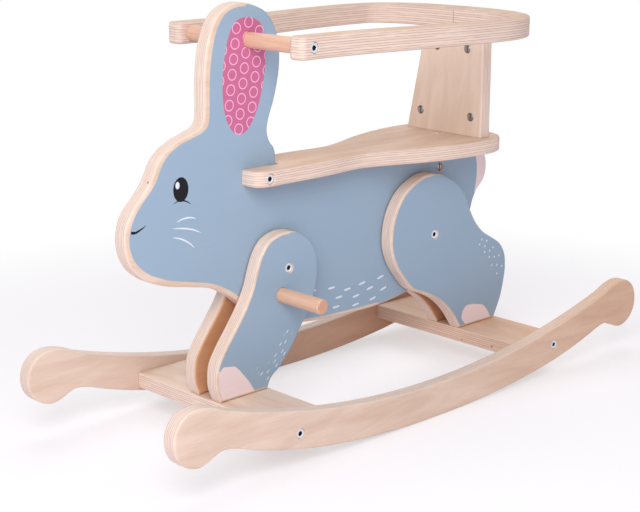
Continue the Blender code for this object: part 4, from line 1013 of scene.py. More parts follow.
def stroke(points, width, blunt_start=False, count=16):
    """A brush stroke round a smooth line, as wide as sin(pi t)^0.6, or (1 - t)^0.6 from a blunt start."""
    line = even(smooth(points), STROKE_SPACING)
    run = np.linspace(0, len(line) - 1, count)
    line = np.stack([np.interp(run, np.arange(len(line)), line[:, k]) for k in (0, 1)], axis=1)
    t = np.linspace(0.0, 1.0, count)
    share = (1 - t) ** STROKE_FADE if blunt_start else np.sin(pi * t) ** STROKE_FADE
    reach = width / 2 * np.maximum(share, STROKE_LEAST)
    ahead = np.gradient(line, axis=0)
    ahead /= np.linalg.norm(ahead, axis=1)[:, None]
    normal = np.stack([-ahead[:, 1], ahead[:, 0]], axis=1) * reach[:, None]
    return np.vstack([line + normal, (line - normal)[::-1]])


def dash(centre, size, angle, count=24):
    """A short dash with rounded ends: a superellipse of power 3, turned by an angle in degrees."""
    length, width = size
    a = np.arange(count) * 2 * pi / count
    x = length / 2 * np.sign(np.cos(a)) * np.abs(np.cos(a)) ** (2 / 3)
    y = width / 2 * np.sign(np.sin(a)) * np.abs(np.sin(a)) ** (2 / 3)
    c, s = cos(radians(angle)), sin(radians(angle))
    return np.array(centre) + np.stack([x * c - y * s, x * s + y * c], axis=1)


def shape(material, loop, *holders):
    """A closed shape, which shows only inside each of the holders too."""
    return material, loop, True, (loop, *holders)


def body_shapes():
    """What is painted on both faces of the body plate, from the undercoat up.

    The margin's and the tail's regions are closed by points beyond the plate.
    """
    lining = closed(even(smooth(EAR_LINING), PAINT_SPACING))
    tail = np.vstack([smooth(TAIL_LINE), [(260, 200), (260, 300)]])
    beyond = [(PAINT_EDGE[-1][0], 600), (-500, 600), (-500, 0), (PAINT_EDGE[0][0], 0)]
    margin = np.vstack([smooth(PAINT_EDGE), beyond])
    shapes = [(BARE, PAINT_EDGE, False, (margin,)), (PAD, TAIL_LINE, False, (tail,)), shape(PINK, lining)]
    for across in RING_COLUMNS:
        for down in RING_ROWS:
            centre = np.array(RING_START) + down * np.array(RING_DOWN) + across * np.array(RING_ACROSS)
            near = np.linalg.norm(lining - centre, axis=1).min() < RING_OUTER - RING_LEAST
            if near or inside(centre[None], lining)[0]:
                for material, radius in ((RING, RING_OUTER), (PINK, RING_OUTER - RING_STROKE)):
                    shapes.append(shape(material, round_shape(centre, (radius, radius), 30), lining))
    shapes += [shape(BLACK, round_shape(EYE, EYE_HALF)), shape(WHITE, round_shape(GLINT, GLINT_HALF, 24)),
               shape(BLACK, stroke(LASH, LASH_WIDTH)), shape(BLACK, stroke(MOUTH, MOUTH_WIDTH, True))]
    shapes += [shape(WHITE, stroke(line, WHISKER_WIDTH)) for line in WHISKERS]
    for y, z in BELLY_DASHES:
        shapes.append(shape(WHITE, dash((y, z), BELLY_DASH, (y - BELLY_DASHES[0][0]) * BELLY_SLANT)))
    shapes.append(shape(WHITE, round_shape(BELLY_DOT, BELLY_DOT_HALF, 16)))
    return shapes


def paw_shapes():
    """What is painted on a front leg: the pad, whose region is closed below the foot, and dashes."""
    pad = np.vstack([smooth(FRONT_PAD_LINE), [(-188, 20), (-280, 20), (-280, 84)]])
    bright = [shape(WHITE, dash(place, PAW_DASH, PAW_SLANT)) for place in PAW_DASHES]
    faint = [shape(FAINT, dash(place, FAINT_PAW_DASH, PAW_SLANT)) for place in FAINT_PAW_DASHES]
    return [(PAD, FRONT_PAD_LINE, False, (pad,))] + bright + faint


def haunch_shapes():
    """What is painted on a rear leg: the pad, whose region is closed below the foot, and dots."""
    pad = np.vstack([smooth(REAR_PAD_LINE), [(220, 20), (170, 20)]])
    dots = [shape(WHITE, round_shape(place, HAUNCH_DOT_HALF, 16)) for place in HAUNCH_DOTS]
    return [(PAD, REAR_PAD_LINE, False, (pad,))] + dots


# Sizes, colours and light that a user would change

class RabbitSizes(PropertyGroup):
    """How finely and how softly the pieces are made."""
    rim: FloatProperty(name="Rim radius", description="Rounding of the plates' rims", default=0.003,
                       min=0.0005, max=0.005, unit="LENGTH")
    board_rim: FloatProperty(name="Board rim radius", description="Rounding of the cross boards' rims",
                             default=0.0015, min=0.0005, max=0.004, unit="LENGTH")
    spacing: FloatProperty(name="Outline spacing", description="Distance between points along an outline",
                           default=0.0015, min=0.0008, max=0.01, unit="LENGTH")
    rim_steps: IntProperty(name="Rim steps", description="Facets of a rounded rim", default=6, min=2, max=12)
    sides: IntProperty(name="Turned sides", description="Sides of a turned piece, a multiple of six",
                       default=48, min=12, max=96, step=6)


def colour_property(name, description, red, green, blue):
    """A colour in the sidebar, given as it shows on a screen."""
    return FloatVectorProperty(name=name, description=description, default=srgb(red, green, blue), min=0.0,
                               max=1.0, subtype="COLOR")


class RabbitColours(PropertyGroup):
    """The finishes."""
    blue: colour_property("Blue", "Satin paint of the rabbit", 154, 177, 198)
    pink: colour_property("Ear pink", "Lining of the ear", 208, 112, 154)
    mauve: colour_property("Ear speckle", "Fine dark specks in the ear's lining", 170, 86, 132)
    ring: colour_property("Ring pink", "Rings in the ear's lining", 255, 192, 222)
    pad: colour_property("Pad pink", "Tail and foot pads", 248, 227, 229)
    black: colour_property("Black", "Eye and mouth", 9, 5, 16)
    white: colour_property("White", "Whiskers, dashes and dots", 230, 237, 248)
    faint: colour_property("Faint white", "Thinly printed dashes on the front paws", 190, 205, 222)
    birch_light: colour_property("Birch, light", "Light wood of the plywood", 240, 219, 202)
    birch_dark: colour_property("Birch, dark", "Dark wood of the plywood", 208, 172, 148)
    sawn: colour_property("Birch, sawn", "Pale sanded edges of the plies", 238, 219, 207)
    # Painted shade: the warm tint multiplied into the inner faces and the rear
    warm: colour_property("Birch, warm", "Tint of the inner faces and the rear", 238, 202, 166)
    glue: colour_property("Glue line", "Thin lines between the plies", 176, 136, 120)
    void: colour_property("Ply gap", "Small open gaps in the inner plies", 100, 68, 54)
    # Painted shade: the hole walls' dark brown is end grain that also stands in for the shade inside the
    # holes
    bored_shade: colour_property("Bored birch", "Walls of the drilled holes", 92, 60, 46)
    beech_light: colour_property("Beech, light", "Light wood of the dowels", 236, 198, 172)
    beech_dark: colour_property("Beech, dark", "Dark wood of the dowels", 204, 150, 120)
    zinc: colour_property("Zinc", "Bolts and nuts", 222, 226, 234)
    # Painted shade: the barrel nuts' zinc is darker than the bolts' because the nuts sit in shade
    nut_shade_zinc: colour_property("Dull zinc", "Barrel nuts", 152, 144, 142)
    # Painted shade: the dark colour inside the bolts' sockets
    socket: colour_property("Socket", "Oiled inside of the bolts' sockets", 40, 34, 34)


class RabbitStudio(PropertyGroup):
    """Light, floor and camera."""
    key: FloatProperty(name="Key light", description="Power of the large lamp before the rabbit",
                       default=15.5, min=0.0, unit="POWER")
    fill: FloatProperty(name="Fill light", description="Strength of the light beside the camera",
                        default=0.15, min=0.0)
    back: FloatProperty(name="Back light", description="Strength of the light over the far side",
                        default=0.92, min=0.0)
    around: FloatProperty(name="Room light", description="Strength of the light from all round", default=0.4,
                          min=0.0)
    floor: colour_property("Floor", "Colour of the floor", 255, 248, 255)
    lift: FloatProperty(name="Floor lift", default=0.54, min=0.0, max=1.0,
                        description="Share of plain white in the floor that the camera sees")
    lens: FloatProperty(name="Lens", description="Focal length for a 36 mm sensor, in millimetres",
                        default=82.589, min=10.0)
    azimuth: FloatProperty(name="Azimuth", description="Camera's bearing, 0 when it looks along +Y",
                           default=radians(45.771), subtype="ANGLE")
    elevation: FloatProperty(name="Elevation", description="Camera's angle above the horizon",
                             default=radians(14.732), subtype="ANGLE")
    roll: FloatProperty(name="Roll", description="Camera's roll", default=radians(0.2498), subtype="ANGLE")
    position: FloatVectorProperty(name="Position", description="Where the camera stands", unit="LENGTH",
                                  default=(1.1764, -1.2073, 0.6075), subtype="TRANSLATION")


def settings(context):
    """The sizes and the colours that the sidebar shows."""
    return context.scene.rabbit_sizes, context.scene.rabbit_colours


def in_place(item, slot, *nodes):
    """The finished piece rides on the rabbit and hides the CAD nodes it stands for. `slot` is not used."""
    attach(item, "root")
    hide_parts(*nodes)


def plywood(colours, name, across, low, along, **more):
    """Birch plywood in this toy's colours."""
    tones = (colours.birch_light, colours.birch_dark, colours.glue, colours.void, colours.sawn, colours.warm)
    return birch(name, across, low, along, tones, **more)


def finishes(colours, wood):
    """A painted plate's materials, in the order of BARE, BLUE and the rest."""
    made = bpy.data.materials
    if BLUE_PAINT not in made:
        blue_paint(BLUE_PAINT, colours.blue)
        for name, colour, unevenness, speckle in PRINTED:
            print_ink(name, getattr(colours, colour), unevenness, speckle, colours.mauve)
    return [wood, made[BLUE_PAINT]] + [made[name] for name, *_ in PRINTED]


# Pieces

class RABBIT_OT_body(Operator):
    """Build the rabbit's body plate: head, ear, body and tail, with everything painted on it"""
    bl_idname = "rabbit.body"
    bl_label = "Body plate"

    def execute(self, context):
        sizes, colours = settings(context)
        low, high = -PLY / 2, PLY / 2
        wood = plywood(colours, "body_edge_birch", X, low, Y, mirrored=False)
        body = plate("painted_body_plate", body_outline(sizes.spacing / MM), UPRIGHT, low, high,
                     sizes.rim / MM, finishes(colours, wood), sizes.rim_steps, body_shapes(), (True, True))
        passing = ((FRONT_LEG_BOLT, SLEEVE), (REAR_LEG_BOLT, SLEEVE), (FOOTREST, DOWEL), (HANDLE, DOWEL),
                   (PRONG_BOLT, SLEEVE))
        holes = [through_hole(place, low, high, radius + FIT) for place, radius in passing]
        holes += [nut_hole(SEAT_NUT, TOWARDS_X), thread_hole((0.0, SEAT_BOLT_Y, BODY_TOP), -TOWARDS_Z)]
        in_place(drilled(body, holes, sizes.sides), "paint", "body_plate")
        return {"FINISHED"}


class RABBIT_OT_legs(Operator):
    """Build the two front and two rear legs, painted outside and bare on their rims and inner faces"""
    bl_idname = "rabbit.legs"
    bl_label = "Legs"

    def execute(self, context):
        sizes, colours = settings(context)
        # Warm painted shade on the legs' inner faces
        wood = plywood(colours, "leg_edge_birch", X, LEG_INNER, Y, inner_warmth=0.95)
        kinds = (("front", FRONT_LEG, FRONT_LEG_BOLT, FOOT_FIXINGS[0], paw_shapes()),
                 ("rear", REAR_LEG, REAR_LEG_BOLT, FOOT_FIXINGS[1], haunch_shapes()))
        for kind, outline, clamp, (bolt_y, pin_y), shapes in kinds:
            loop = leg_outline(outline, sizes.spacing / MM)
            for word, side in SIDES.items():
                outward, middle = side * TOWARDS_X, side * LEG_MIDDLE
                low, high = sorted((side * LEG_INNER, side * LEG_OUTER))
                leg = plate(f"painted_{kind}_leg_{word}", loop, UPRIGHT, low, high, sizes.rim / MM,
                            finishes(colours, wood), sizes.rim_steps, shapes, (side < 0, side > 0))
                radius = (SLEEVE if side > 0 else THREAD) + FIT
                holes = [bolt_hole((side * LEG_OUTER, *clamp), outward, PLY + PROUD, radius),
                         thread_hole((middle, bolt_y, LEG_BOTTOM), TOWARDS_Z),
                         nut_hole((middle, bolt_y, LEG_BOTTOM + NUT_DEPTH), -outward),
                         pin_hole((middle, pin_y, LEG_BOTTOM), TOWARDS_Z)]
                if kind == "front":
                    holes.append(through_hole(FOOTREST, low, high, DOWEL + FIT))
                in_place(drilled(leg, holes, sizes.sides), "paint", f"{kind}_leg_{word}")
        return {"FINISHED"}


class RABBIT_OT_runners(Operator):
    """Build the two runners with their knobs and sunk bolt holes"""
    bl_idname = "rabbit.runners"
    bl_label = "Runners"

    def execute(self, context):
        sizes, colours = settings(context)
        # Warm painted shade on the runners' inner faces towards the middle, and on their rear
        wood = plywood(colours, "runner_birch", X, RUNNER_INNER, Y, inner_warmth=0.5, warm_from=(-300, 40),
                       rear_warmth=0.5)
        loop = runner_outline(sizes.spacing / MM)
        for word, side in SIDES.items():
            outward = side * TOWARDS_X
            low, high = sorted((side * RUNNER_INNER, side * RUNNER_OUTER))
            runner = plate(f"sanded_rocker_{word}", loop, UPRIGHT, low, high, sizes.rim / MM, [wood],
                           sizes.rim_steps)
            holes = []
            for bolt_y, pin_y in RUNNER_FIXINGS:
                holes += [bolt_hole((side * RUNNER_OUTER, bolt_y, BOARD_MIDDLE), outward, PLY + PROUD),
                          pin_hole((side * RUNNER_INNER, pin_y, BOARD_MIDDLE), outward)]
            in_place(drilled(runner, holes, sizes.sides), "birch", f"rocker_{word}")
        return {"FINISHED"}


class RABBIT_OT_boards(Operator):
    """Build the two cross boards that join the runners and carry the legs"""
    bl_idname = "rabbit.boards"
    bl_label = "Cross boards"

    def execute(self, context):
        sizes, colours = settings(context)
        # Warm painted shade on the boards towards the rear
        wood = plywood(colours, "board_birch", Z, BOARD_BOTTOM, X, mirrored=False, lines=1.0, voids=0.74,
                       rear_warmth=0.8)
        for end, (bolt_y, pin_y), (foot_y, foot_pin_y) in ENDS:
            near, far = span(f"{end}_cross_board", Y)
            corners = [(-BOARD_HALF, near), (BOARD_HALF, near), (BOARD_HALF, far), (-BOARD_HALF, far)]
            edges = zip(corners, corners[1:] + corners[:1])
            loop = closed(*(even(edge, BOARD_SPACING, CORNER_RUN) for edge in edges))
            board = plate(f"sanded_{end}_cross_board", loop, FLAT, BOARD_BOTTOM, BOARD_TOP,
                          sizes.board_rim / MM, [wood], sizes.rim_steps)
            holes = []
            for side in SIDES.values():
                outward, middle = side * TOWARDS_X, side * LEG_MIDDLE
                holes += [thread_hole((side * BOARD_HALF, bolt_y, BOARD_MIDDLE), -outward),
                          nut_hole((side * (BOARD_HALF - NUT_DEPTH), bolt_y, BOARD_MIDDLE), -TOWARDS_Z),
                          pin_hole((side * BOARD_HALF, pin_y, BOARD_MIDDLE), -outward),
                          bolt_hole((middle, foot_y, BOARD_BOTTOM), -TOWARDS_Z, PLY + PROUD),
                          pin_hole((middle, foot_pin_y, BOARD_TOP), -TOWARDS_Z)]
            in_place(drilled(board, holes, sizes.sides), "birch", f"{end}_cross_board")
        return {"FINISHED"}


class RABBIT_OT_seat(Operator):
    """Build the saddle-shaped seat board, its slot square where it hugs the neck"""
    bl_idname = "rabbit.seat"
    bl_label = "Seat"

    def execute(self, context):
        sizes, colours = settings(context)
        # The raised share of dark wood is painted shade on the seat's top
        wood = plywood(colours, "seat_birch", Z, SEAT_BOTTOM, Y, mirrored=False, deep=0.72)

        def radius(middles):
            """Square along the slot that hugs the neck, and rounded elsewhere."""
            x, y = np.abs(middles[:, 0]), middles[:, 1]
            slot = (x < LEG_INNER + SLOT_RELIEF + FIT) & (y < SLOT_ROOT_Y + FIT) & (y > SEAT[0][1] + FIT)
            return np.where(slot, FIT, sizes.rim / MM)

        seat = plate("sanded_seat_board", seat_outline(sizes.spacing / MM), FLAT, SEAT_BOTTOM, SEAT_TOP,
                     radius, [wood], sizes.rim_steps)
        prong, foot_y = prong_reach(), backrest_middle(FOOT_NUT_Z)
        holes = [bolt_hole((0.0, SEAT_BOLT_Y, SEAT_TOP), TOWARDS_Z, PLY + PROUD)]
        for side in SIDES.values():
            wide = (SLEEVE if side > 0 else THREAD) + FIT
            holes += [bolt_hole((side * prong, *PRONG_BOLT), side * TOWARDS_X, prong, wide),
                      bolt_hole((side * FOOT_BOLT_X, foot_y, SEAT_BOTTOM), -TOWARDS_Z, PLY + PROUD)]
        in_place(drilled(seat, holes, sizes.sides), "birch", "seat_board")
        return {"FINISHED"}


def prong_reach():
    """How far out the seat's prong lies at its bolt."""
    side = smooth(SEAT)[:-CURVE_STEPS]
    return float(np.interp(PRONG_BOLT[0], side[:, 1], side[:, 0]))


def backrest_middle(z):
    """The y of the backrest's middle plane at height z."""
    return BACKREST_FRONT + (z - BACK_BOTTOM) * tan(LEAN) + PLY / cos(LEAN) / 2


class RABBIT_OT_backrest(Operator):
    """Build the leaning backrest, a board that narrows upwards"""
    bl_idname = "rabbit.backrest"
    bl_label = "Backrest"

    def execute(self, context):
        sizes, colours = settings(context)
        front = BACKREST_FRONT * cos(LEAN) - BACK_BOTTOM * sin(LEAN)
        wood = plywood(colours, "backrest_birch", Y, front, Z, mirrored=False, lean=LEAN, contrast=0.8)
        points, faces = leaning_board(sizes.rim / MM, sizes.rim_steps)
        board = object_of(mesh_of("sanded_backrest_board", points, faces, [wood]))
        holes = []
        for side in SIDES.values():
            for x, z, edge, inward in ((FOOT_BOLT_X, FOOT_NUT_Z, BACK_BOTTOM, TOWARDS_Z),
                                       (HEAD_BOLT_X, HEAD_NUT_Z, BACK_TOP, -TOWARDS_Z)):
                y = backrest_middle(z)
                holes += [thread_hole((side * x, y, edge), inward), nut_hole((side * x, y, z), -TOWARDS_Y)]
        in_place(drilled(board, holes, sizes.sides), "birch", "backrest_board")
        return {"FINISHED"}


def leaning_board(radius, steps):
    """The points and faces of a rounded rectangle carried upwards while it narrows and leans back.

    At height z its half width is 59.8 - (z - bottom) tan 5.9 deg and its front lies at
    147.8 + (z - bottom) tan 7 deg. Each corner is a quarter round. Level faces close it.
    """
    z = np.linspace(BACK_BOTTOM, BACK_TOP, BACKREST_ROWS)[:, None]
    a = np.linspace(0.0, pi / 2, steps + 1)
    half = BACKREST_HALF - (z - BACK_BOTTOM) * tan(TAPER) - radius
    deep = PLY / cos(LEAN) / 2 - radius
    starts = np.arange(4) * pi / 2
    turn = (starts[:, None] + a).ravel()
    corner_x, corner_y = (np.repeat(np.sign(part), steps + 1)
                          for part in (np.cos(starts + pi / 4), np.sin(starts + pi / 4)))
    x = corner_x * half + radius * np.cos(turn)
    y = corner_y * deep + radius * np.sin(turn) + backrest_middle(z)
    rows = np.stack([x, y, np.broadcast_to(z, x.shape)], axis=-1)
    return rows.reshape(-1, 3), turned_faces(*x.shape)


class RABBIT_OT_rail(Operator):
    """Build the guard rail's two halves, which butt together behind the backrest"""
    bl_idname = "rabbit.rail"
    bl_label = "Guard rail"

    def execute(self, context):
        sizes, colours = settings(context)
        # The raised share of dark wood is painted shade on the rail's top
        wood = plywood(colours, "rail_birch", Z, RAIL_BOTTOM, Y, mirrored=False, thickness=RAIL_PLY, plies=9,
                       lines=1.0, deep=0.8, butt=0.6)

        def radius(middles):
            """Slightly eased where the halves meet, and rounded elsewhere."""
            return np.where(np.abs(middles[:, 0]) < FIT, BUTT_EASE, sizes.rim / MM)

        head_y = backrest_middle(HEAD_NUT_Z)
        for word, side in SIDES.items():
            outward = side * TOWARDS_X
            half = plate(f"sanded_guard_rail_{word}", rail_outline(side, sizes.spacing / MM), FLAT,
                         RAIL_BOTTOM, RAIL_TOP, radius, [wood], sizes.rim_steps)
            holes = [bolt_hole((side * RAIL_FRONT_HALF, *HANDLE), outward, RAIL_WIDTH + PROUD),
                     bolt_hole((side * HEAD_BOLT_X, head_y, RAIL_TOP), TOWARDS_Z, RAIL_PLY + PROUD),
                     plain_hole((0.0, RAIL_PIN_Y, RAIL_MIDDLE), outward, PIN_LENGTH / 2 + FIT, PIN + FIT)]
            in_place(drilled(half, holes, sizes.sides), "rail", f"guard_rail_{word}")
        return {"FINISHED"}


class RABBIT_OT_dowels(Operator):
    """Build the handle dowel, the footrest dowel and the wooden locating pins"""
    bl_idname = "rabbit.dowels"
    bl_label = "Dowels"

    def execute(self, context):
        sizes, colours = settings(context)
        wood = [beech("beech_dowel", colours.beech_light, colours.beech_dark)]
        handle = object_of(turned_mesh("turned_handle_dowel", dowel_profile(HANDLE_HALF, DOWEL, HANDLE_EASE),
                                       sizes.sides, wood, (0.0, *HANDLE), TOWARDS_X))
        bores = [plain_hole((side * HANDLE_HALF, *HANDLE), -side * TOWARDS_X, INSERT_LENGTH + THREAD_REACH,
                            INSERT + FIT, FIT) for side in SIDES.values()]
        in_place(drilled(handle, bores, sizes.sides), "dowel", "handle_dowel")
        footrest = turned_piece("turned_footrest_dowel", dowel_profile(FOOTREST_HALF, DOWEL, FOOTREST_EASE),
                                sizes.sides, wood, (0.0, *FOOTREST), TOWARDS_X)
        in_place(footrest, "dowel", "footrest_dowel")
        profile = dowel_profile(PIN_LENGTH / 2, PIN, PIN_EASE)
        for node, place, direction in pin_places():
            pin = turned_piece(f"turned_{node}", profile, sizes.sides, wood, place, direction)
            in_place(pin, "dowel", node)
        return {"FINISHED"}


def dowel_profile(half, radius, ease, steps=5):
    """A plain dowel whose ends are eased by quarter rounds."""
    a = np.linspace(0.0, pi / 2, steps)
    end = [(half - ease * (1 - sin(b)), radius - ease * (1 - cos(b))) for b in a]
    return [(-height, r) for height, r in reversed(end)] + end


def pin_places():
    """Each locating pin's node, middle and direction."""
    found = [("rail_pin", (0.0, RAIL_PIN_Y, RAIL_MIDDLE), TOWARDS_X)]
    for end, (_, runner_y), (_, foot_y) in ENDS:
        for word, side in SIDES.items():
            runner_pin = (side * (RUNNER_INNER - FIT / 2), runner_y, BOARD_MIDDLE)
            foot_pin = (side * LEG_MIDDLE, foot_y, BOARD_TOP + FIT / 2)
            found += [(f"rocker_pin_{end}_{word}", runner_pin, TOWARDS_X),
                      (f"foot_pin_{end}_{word}", foot_pin, TOWARDS_Z)]
    return found


class RABBIT_OT_fasteners(Operator):
    """Build the sunk socket bolts, sleeve nuts, barrel nuts and threaded inserts"""
    bl_idname = "rabbit.fasteners"
    bl_label = "Fasteners"

    def execute(self, context):
        sizes, colours = settings(context)
        # The second material paints shade inside the bolts' sockets
        steel = [zinc("bright_zinc", colours.zinc), socket_painted_shade("oiled_socket", colours.socket)]
        for node, length, surface, outward, sleeve in bolt_places():
            profile = sleeve_profile(length) if sleeve else bolt_profile(length)
            bearing = np.asarray(surface, float) - outward * BOLT_SEAT
            bolt = turned_piece(f"plated_{node}", profile, sizes.sides, steel, bearing, outward, STEEL_SHARP,
                                sleeve)
            in_place(bolt, "steel", node)
        # Painted shade: a darker zinc for the barrel nuts, which sit in shade
        nut_shade_zinc = [zinc("dull_zinc", colours.nut_shade_zinc)]
        for node, place, slotted_end, thread in nut_places():
            nut = object_of(turned_mesh(f"plated_{node}", nut_profile(), sizes.sides, nut_shade_zinc, place,
                                        slotted_end, thread))
            bore = plain_hole(np.asarray(place) - thread * 2 * NUT, thread, 4 * NUT, THREAD + FIT)
            slot = object_of(slot_block(place, slotted_end, thread, nut_shade_zinc))
            in_place(drilled(nut, [bore], sizes.sides, STEEL_SHARP, [slot]), "steel", node)
        for word, side in SIDES.items():
            start = (side * (HANDLE_HALF - FIT), *HANDLE)
            insert = turned_piece(f"plated_handle_insert_{word}", insert_profile(), sizes.sides, steel,
                                  start, -side * TOWARDS_X, STEEL_SHARP, True)
            in_place(insert, "steel", f"handle_insert_{word}")
        return {"FINISHED"}


def head_profile():
    """A cylinder head with rounded rim, and a hexagonal socket with a small countersink."""
    top = HEAD_HEIGHT
    rim_round = [(top - HEAD_ROUND * (1 - sin(a)), HEAD - HEAD_ROUND * (1 - cos(a)))
                 for a in np.linspace(0.0, pi / 2, 5)]
    socket = [(top, SOCKET + SOCKET_MOUTH), (top - SOCKET_MOUTH_DEPTH, SOCKET, "hex"),
              (top - SOCKET_DEPTH, SOCKET, "hex")]
    return [(0.0, HEAD)] + rim_round + socket


def bolt_profile(length):
    """A bolt: a chamfered tip, a plain shank for its thread, and the head."""
    tip = [(-length, THREAD - THREAD_CHAMFER), (THREAD_CHAMFER - length, THREAD)]
    return tip + [(0.0, THREAD)] + head_profile()


def sleeve_profile(length):
    """A sleeve nut: head, sleeve and a bore that stops short of the socket."""
    bore, web = THREAD + FIT, SOCKET_DEPTH - HEAD_HEIGHT
    shank = [(web, BORE_TIP), (web, bore), (-length, bore), (-length, SLEEVE), (0.0, SLEEVE)]
    return shank + head_profile() + [(HEAD_HEIGHT - SOCKET_DEPTH, BORE_TIP)]


def insert_profile():
    """A threaded insert: a sleeve whose outer and inner edges are eased where the bolt comes in."""
    bore = THREAD + FIT
    return ((MOUTH_EASE, bore), (0.0, bore + MOUTH_EASE), (0.0, INSERT - MOUTH_EASE), (MOUTH_EASE, INSERT),
            (INSERT_LENGTH, INSERT), (INSERT_LENGTH, bore))


def nut_profile():
    """A barrel nut with a fine chamfer at its tail and a broad one at its slotted end."""
    return ((-NUT_TAIL, NUT - NUT_TAIL_CHAMFER), (NUT_TAIL_CHAMFER - NUT_TAIL, NUT),
            (NUT_HEAD - NUT_CHAMFER, NUT), (NUT_HEAD, NUT - NUT_CHAMFER))


def slot_block(place, slotted_end, thread, materials):
    """The cutter of a barrel nut's screwdriver slot, a bar along the thread through the slotted end."""
    corners = np.array([(x, y, z) for z in (-1, 1) for x, y in SQUARE], float)
    corners *= (NUT_SLOT / 2, 1.5 * NUT, NUT_SLOT_DEPTH)
    points = aimed(corners + (0, 0, NUT_HEAD), place, slotted_end, thread)
    return mesh_of("slot_cutter", points, turned_faces(2, 4), materials)


def bolt_places():
    """Each bolt's and sleeve nut's node, length under the head, surface point, direction and kind."""
    found = []
    reach = PLY + FIT + NUT_DEPTH + THREAD_REACH - BOLT_SEAT
    for end, (runner_y, _), (foot_y, _) in ENDS:
        for word, side in SIDES.items():
            runner = (side * RUNNER_OUTER, runner_y, BOARD_MIDDLE)
            foot = (side * LEG_MIDDLE, foot_y, BOARD_BOTTOM)
            found += [(f"rocker_bolt_{end}_{word}", reach, runner, side * TOWARDS_X, False),
                      (f"foot_bolt_{end}_{word}", reach, foot, -TOWARDS_Z, False)]
    for name, half, place in (("front_leg", LEG_OUTER, FRONT_LEG_BOLT),
                              ("rear_leg", LEG_OUTER, REAR_LEG_BOLT),
                              ("seat_prong", prong_reach(), PRONG_BOLT)):
        grip = half - BOLT_SEAT
        found += [(f"{name}_sleeve_nut", grip + PLY / 2, (half, *place), TOWARDS_X, True),
                  (f"{name}_bolt", 2 * grip - THREAD_REACH, (-half, *place), -TOWARDS_X, False)]
    found.append(("seat_bolt", reach, (0.0, SEAT_BOLT_Y, SEAT_TOP), TOWARDS_Z, False))
    foot_y, head_y = backrest_middle(FOOT_NUT_Z), backrest_middle(HEAD_NUT_Z)
    for word, side in SIDES.items():
        below = (side * FOOT_BOLT_X, foot_y, SEAT_BOTTOM)
        above = (side * HEAD_BOLT_X, head_y, RAIL_TOP)
        beside = (side * RAIL_FRONT_HALF, *HANDLE)
        found += [(f"backrest_bolt_{word}", reach, below, -TOWARDS_Z, False),
                  (f"rail_bolt_{word}", reach + RAIL_PLY - PLY, above, TOWARDS_Z, False),
                  (f"handle_bolt_{word}", RAIL_WIDTH + INSERT_LENGTH - BOLT_SEAT, beside, side * TOWARDS_X,
                   False)]
    return found


def nut_places():
    """Each barrel nut's node, centre, slotted end's direction and thread's direction."""
    found = []
    for end, (runner_y, _), (foot_y, _) in ENDS:
        for word, side in SIDES.items():
            found += [(f"rocker_nut_{end}_{word}", (side * (BOARD_HALF - NUT_DEPTH), runner_y, BOARD_MIDDLE),
                       -TOWARDS_Z, TOWARDS_X),
                      (f"foot_nut_{end}_{word}", (side * LEG_MIDDLE, foot_y, LEG_BOTTOM + NUT_DEPTH),
                       -side * TOWARDS_X, TOWARDS_Z)]
    found.append(("seat_nut", SEAT_NUT, TOWARDS_X, TOWARDS_Z))
    for word, side in SIDES.items():
        for name, x, z in (("backrest", FOOT_BOLT_X, FOOT_NUT_Z), ("rail", HEAD_BOLT_X, HEAD_NUT_Z)):
            found.append((f"{name}_nut_{word}", (side * x, backrest_middle(z), z), -TOWARDS_Y, TOWARDS_Z))
    return found


# Studio

class RABBIT_OT_studio(Operator):
    """Set up the pale floor, the soft studio light and the camera at the photograph's angle"""
    bl_idname = "rabbit.studio"
    bl_label = "Studio"

    def execute(self, context):
        studio = context.scene.rabbit_studio
        corners = [(x * FLOOR_HALF, y * FLOOR_HALF, FLOOR_Z) for x, y in SQUARE]
        paint = floor_paint("floor_white", studio.floor, studio.lift)
        floor = object_of(mesh_of("studio_floor", corners, [(0, 1, 2, 3)], [paint]))
        for name, kind, place, softness in LAMPS:
            lamp(f"{name}_light", kind, getattr(studio, name), place, **softness)
        room_light(context.scene, studio.around)
        camera(context.scene, studio)
        context.scene.view_settings.view_transform = "Standard"
        return {"FINISHED"}


def lamp(name, kind, energy, place, **softness):
    """A lamp at `place` in metres, turned towards the middle. A sun's place is its direction."""
    light = bpy.data.lights.new(name, kind)
    light.energy = energy
    for key, value in softness.items():
        setattr(light, key, value)
    item = bpy.data.objects.new(name, light)
    item.location = place
    item.rotation_euler = Vector(place).to_track_quat("Z", "Y").to_euler()
    bpy.context.scene.collection.objects.link(item)


def room_light(scene, strength):
    """A white room: even light on the toy, plain white behind it and in its reflections."""
    world = bpy.data.worlds.new("white_room")
    world.use_nodes = True
    nodes = Nodes(world.node_tree)
    light = world.node_tree.nodes["Background"]
    nodes.set(light, {"Color": ROOM_TINT, "Strength": strength})
    white = nodes.add("ShaderNodeBackground", None, {"Color": WHITE_LIGHT, "Strength": 1.0})
    nodes.joined(light, white, nodes.seen(), "World Output")
    scene.world = world


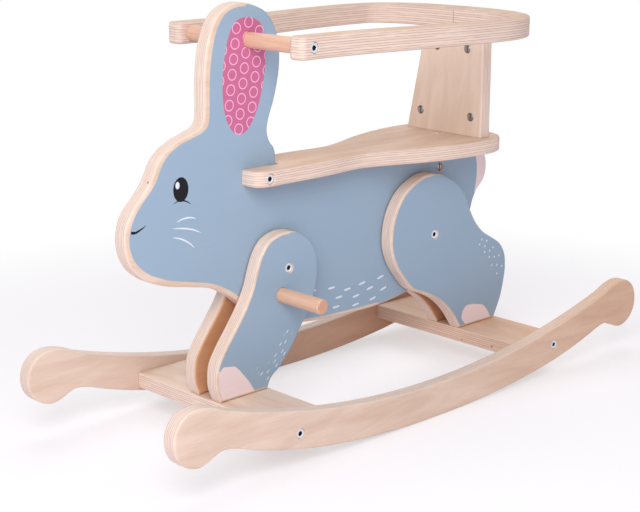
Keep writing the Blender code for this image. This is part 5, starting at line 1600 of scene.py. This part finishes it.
def camera(scene, studio):
    """The camera where it stood, from its bearing, height and roll."""
    bearing, height, roll = studio.azimuth, studio.elevation, studio.roll
    back = Vector((sin(bearing) * cos(height), -cos(bearing) * cos(height), sin(height)))
    level = Vector((cos(bearing), sin(bearing), 0.0))
    over = back.cross(level)
    right = level * cos(roll) + over * sin(roll)
    up = over * cos(roll) - level * sin(roll)
    item = bpy.data.objects.new("camera", bpy.data.cameras.new("camera"))
    item.data.lens, item.data.sensor_width = studio.lens, SENSOR_WIDTH
    item.matrix_world = Matrix.Translation(studio.position) @ Matrix((right, up, back)).transposed().to_4x4()
    scene.collection.objects.link(item)
    scene.camera = item


# The add-on's panel and registration

class RABBIT_PT_panel(Panel):
    """The rabbit's pieces, sizes, colours and studio"""
    bl_label = "Rocking rabbit"
    bl_idname = "RABBIT_PT_panel"
    bl_space_type = "VIEW_3D"
    bl_region_type = "UI"
    bl_category = "Rabbit"

    def draw(self, context):
        for step in STEPS:
            self.layout.operator(step.bl_idname)
        for group in (context.scene.rabbit_sizes, context.scene.rabbit_colours, context.scene.rabbit_studio):
            box = self.layout.box()
            for name in group.__annotations__:
                box.prop(group, name)


GROUPS = {"rabbit_sizes": RabbitSizes, "rabbit_colours": RabbitColours, "rabbit_studio": RabbitStudio}
STEPS = (RABBIT_OT_body, RABBIT_OT_legs, RABBIT_OT_runners, RABBIT_OT_boards, RABBIT_OT_seat,
         RABBIT_OT_backrest, RABBIT_OT_rail, RABBIT_OT_dowels, RABBIT_OT_fasteners, RABBIT_OT_studio)


def register():
    """Adds the classes, and the sizes, colours and studio to every scene."""
    for kind in (*GROUPS.values(), *STEPS, RABBIT_PT_panel):
        bpy.utils.register_class(kind)
    for name, group in GROUPS.items():
        setattr(bpy.types.Scene, name, PointerProperty(type=group))


def unregister():
    """Takes away all that `register` adds."""
    for name in GROUPS:
        delattr(bpy.types.Scene, name)
    for kind in reversed((*GROUPS.values(), *STEPS, RABBIT_PT_panel)):
        bpy.utils.unregister_class(kind)


def main():
    """Builds the rabbit and its studio step by step."""
    register()
    for step in STEPS:
        group, name = step.bl_idname.split(".")
        getattr(getattr(bpy.ops, group), name)()


if __name__ == "__main__":
    main()
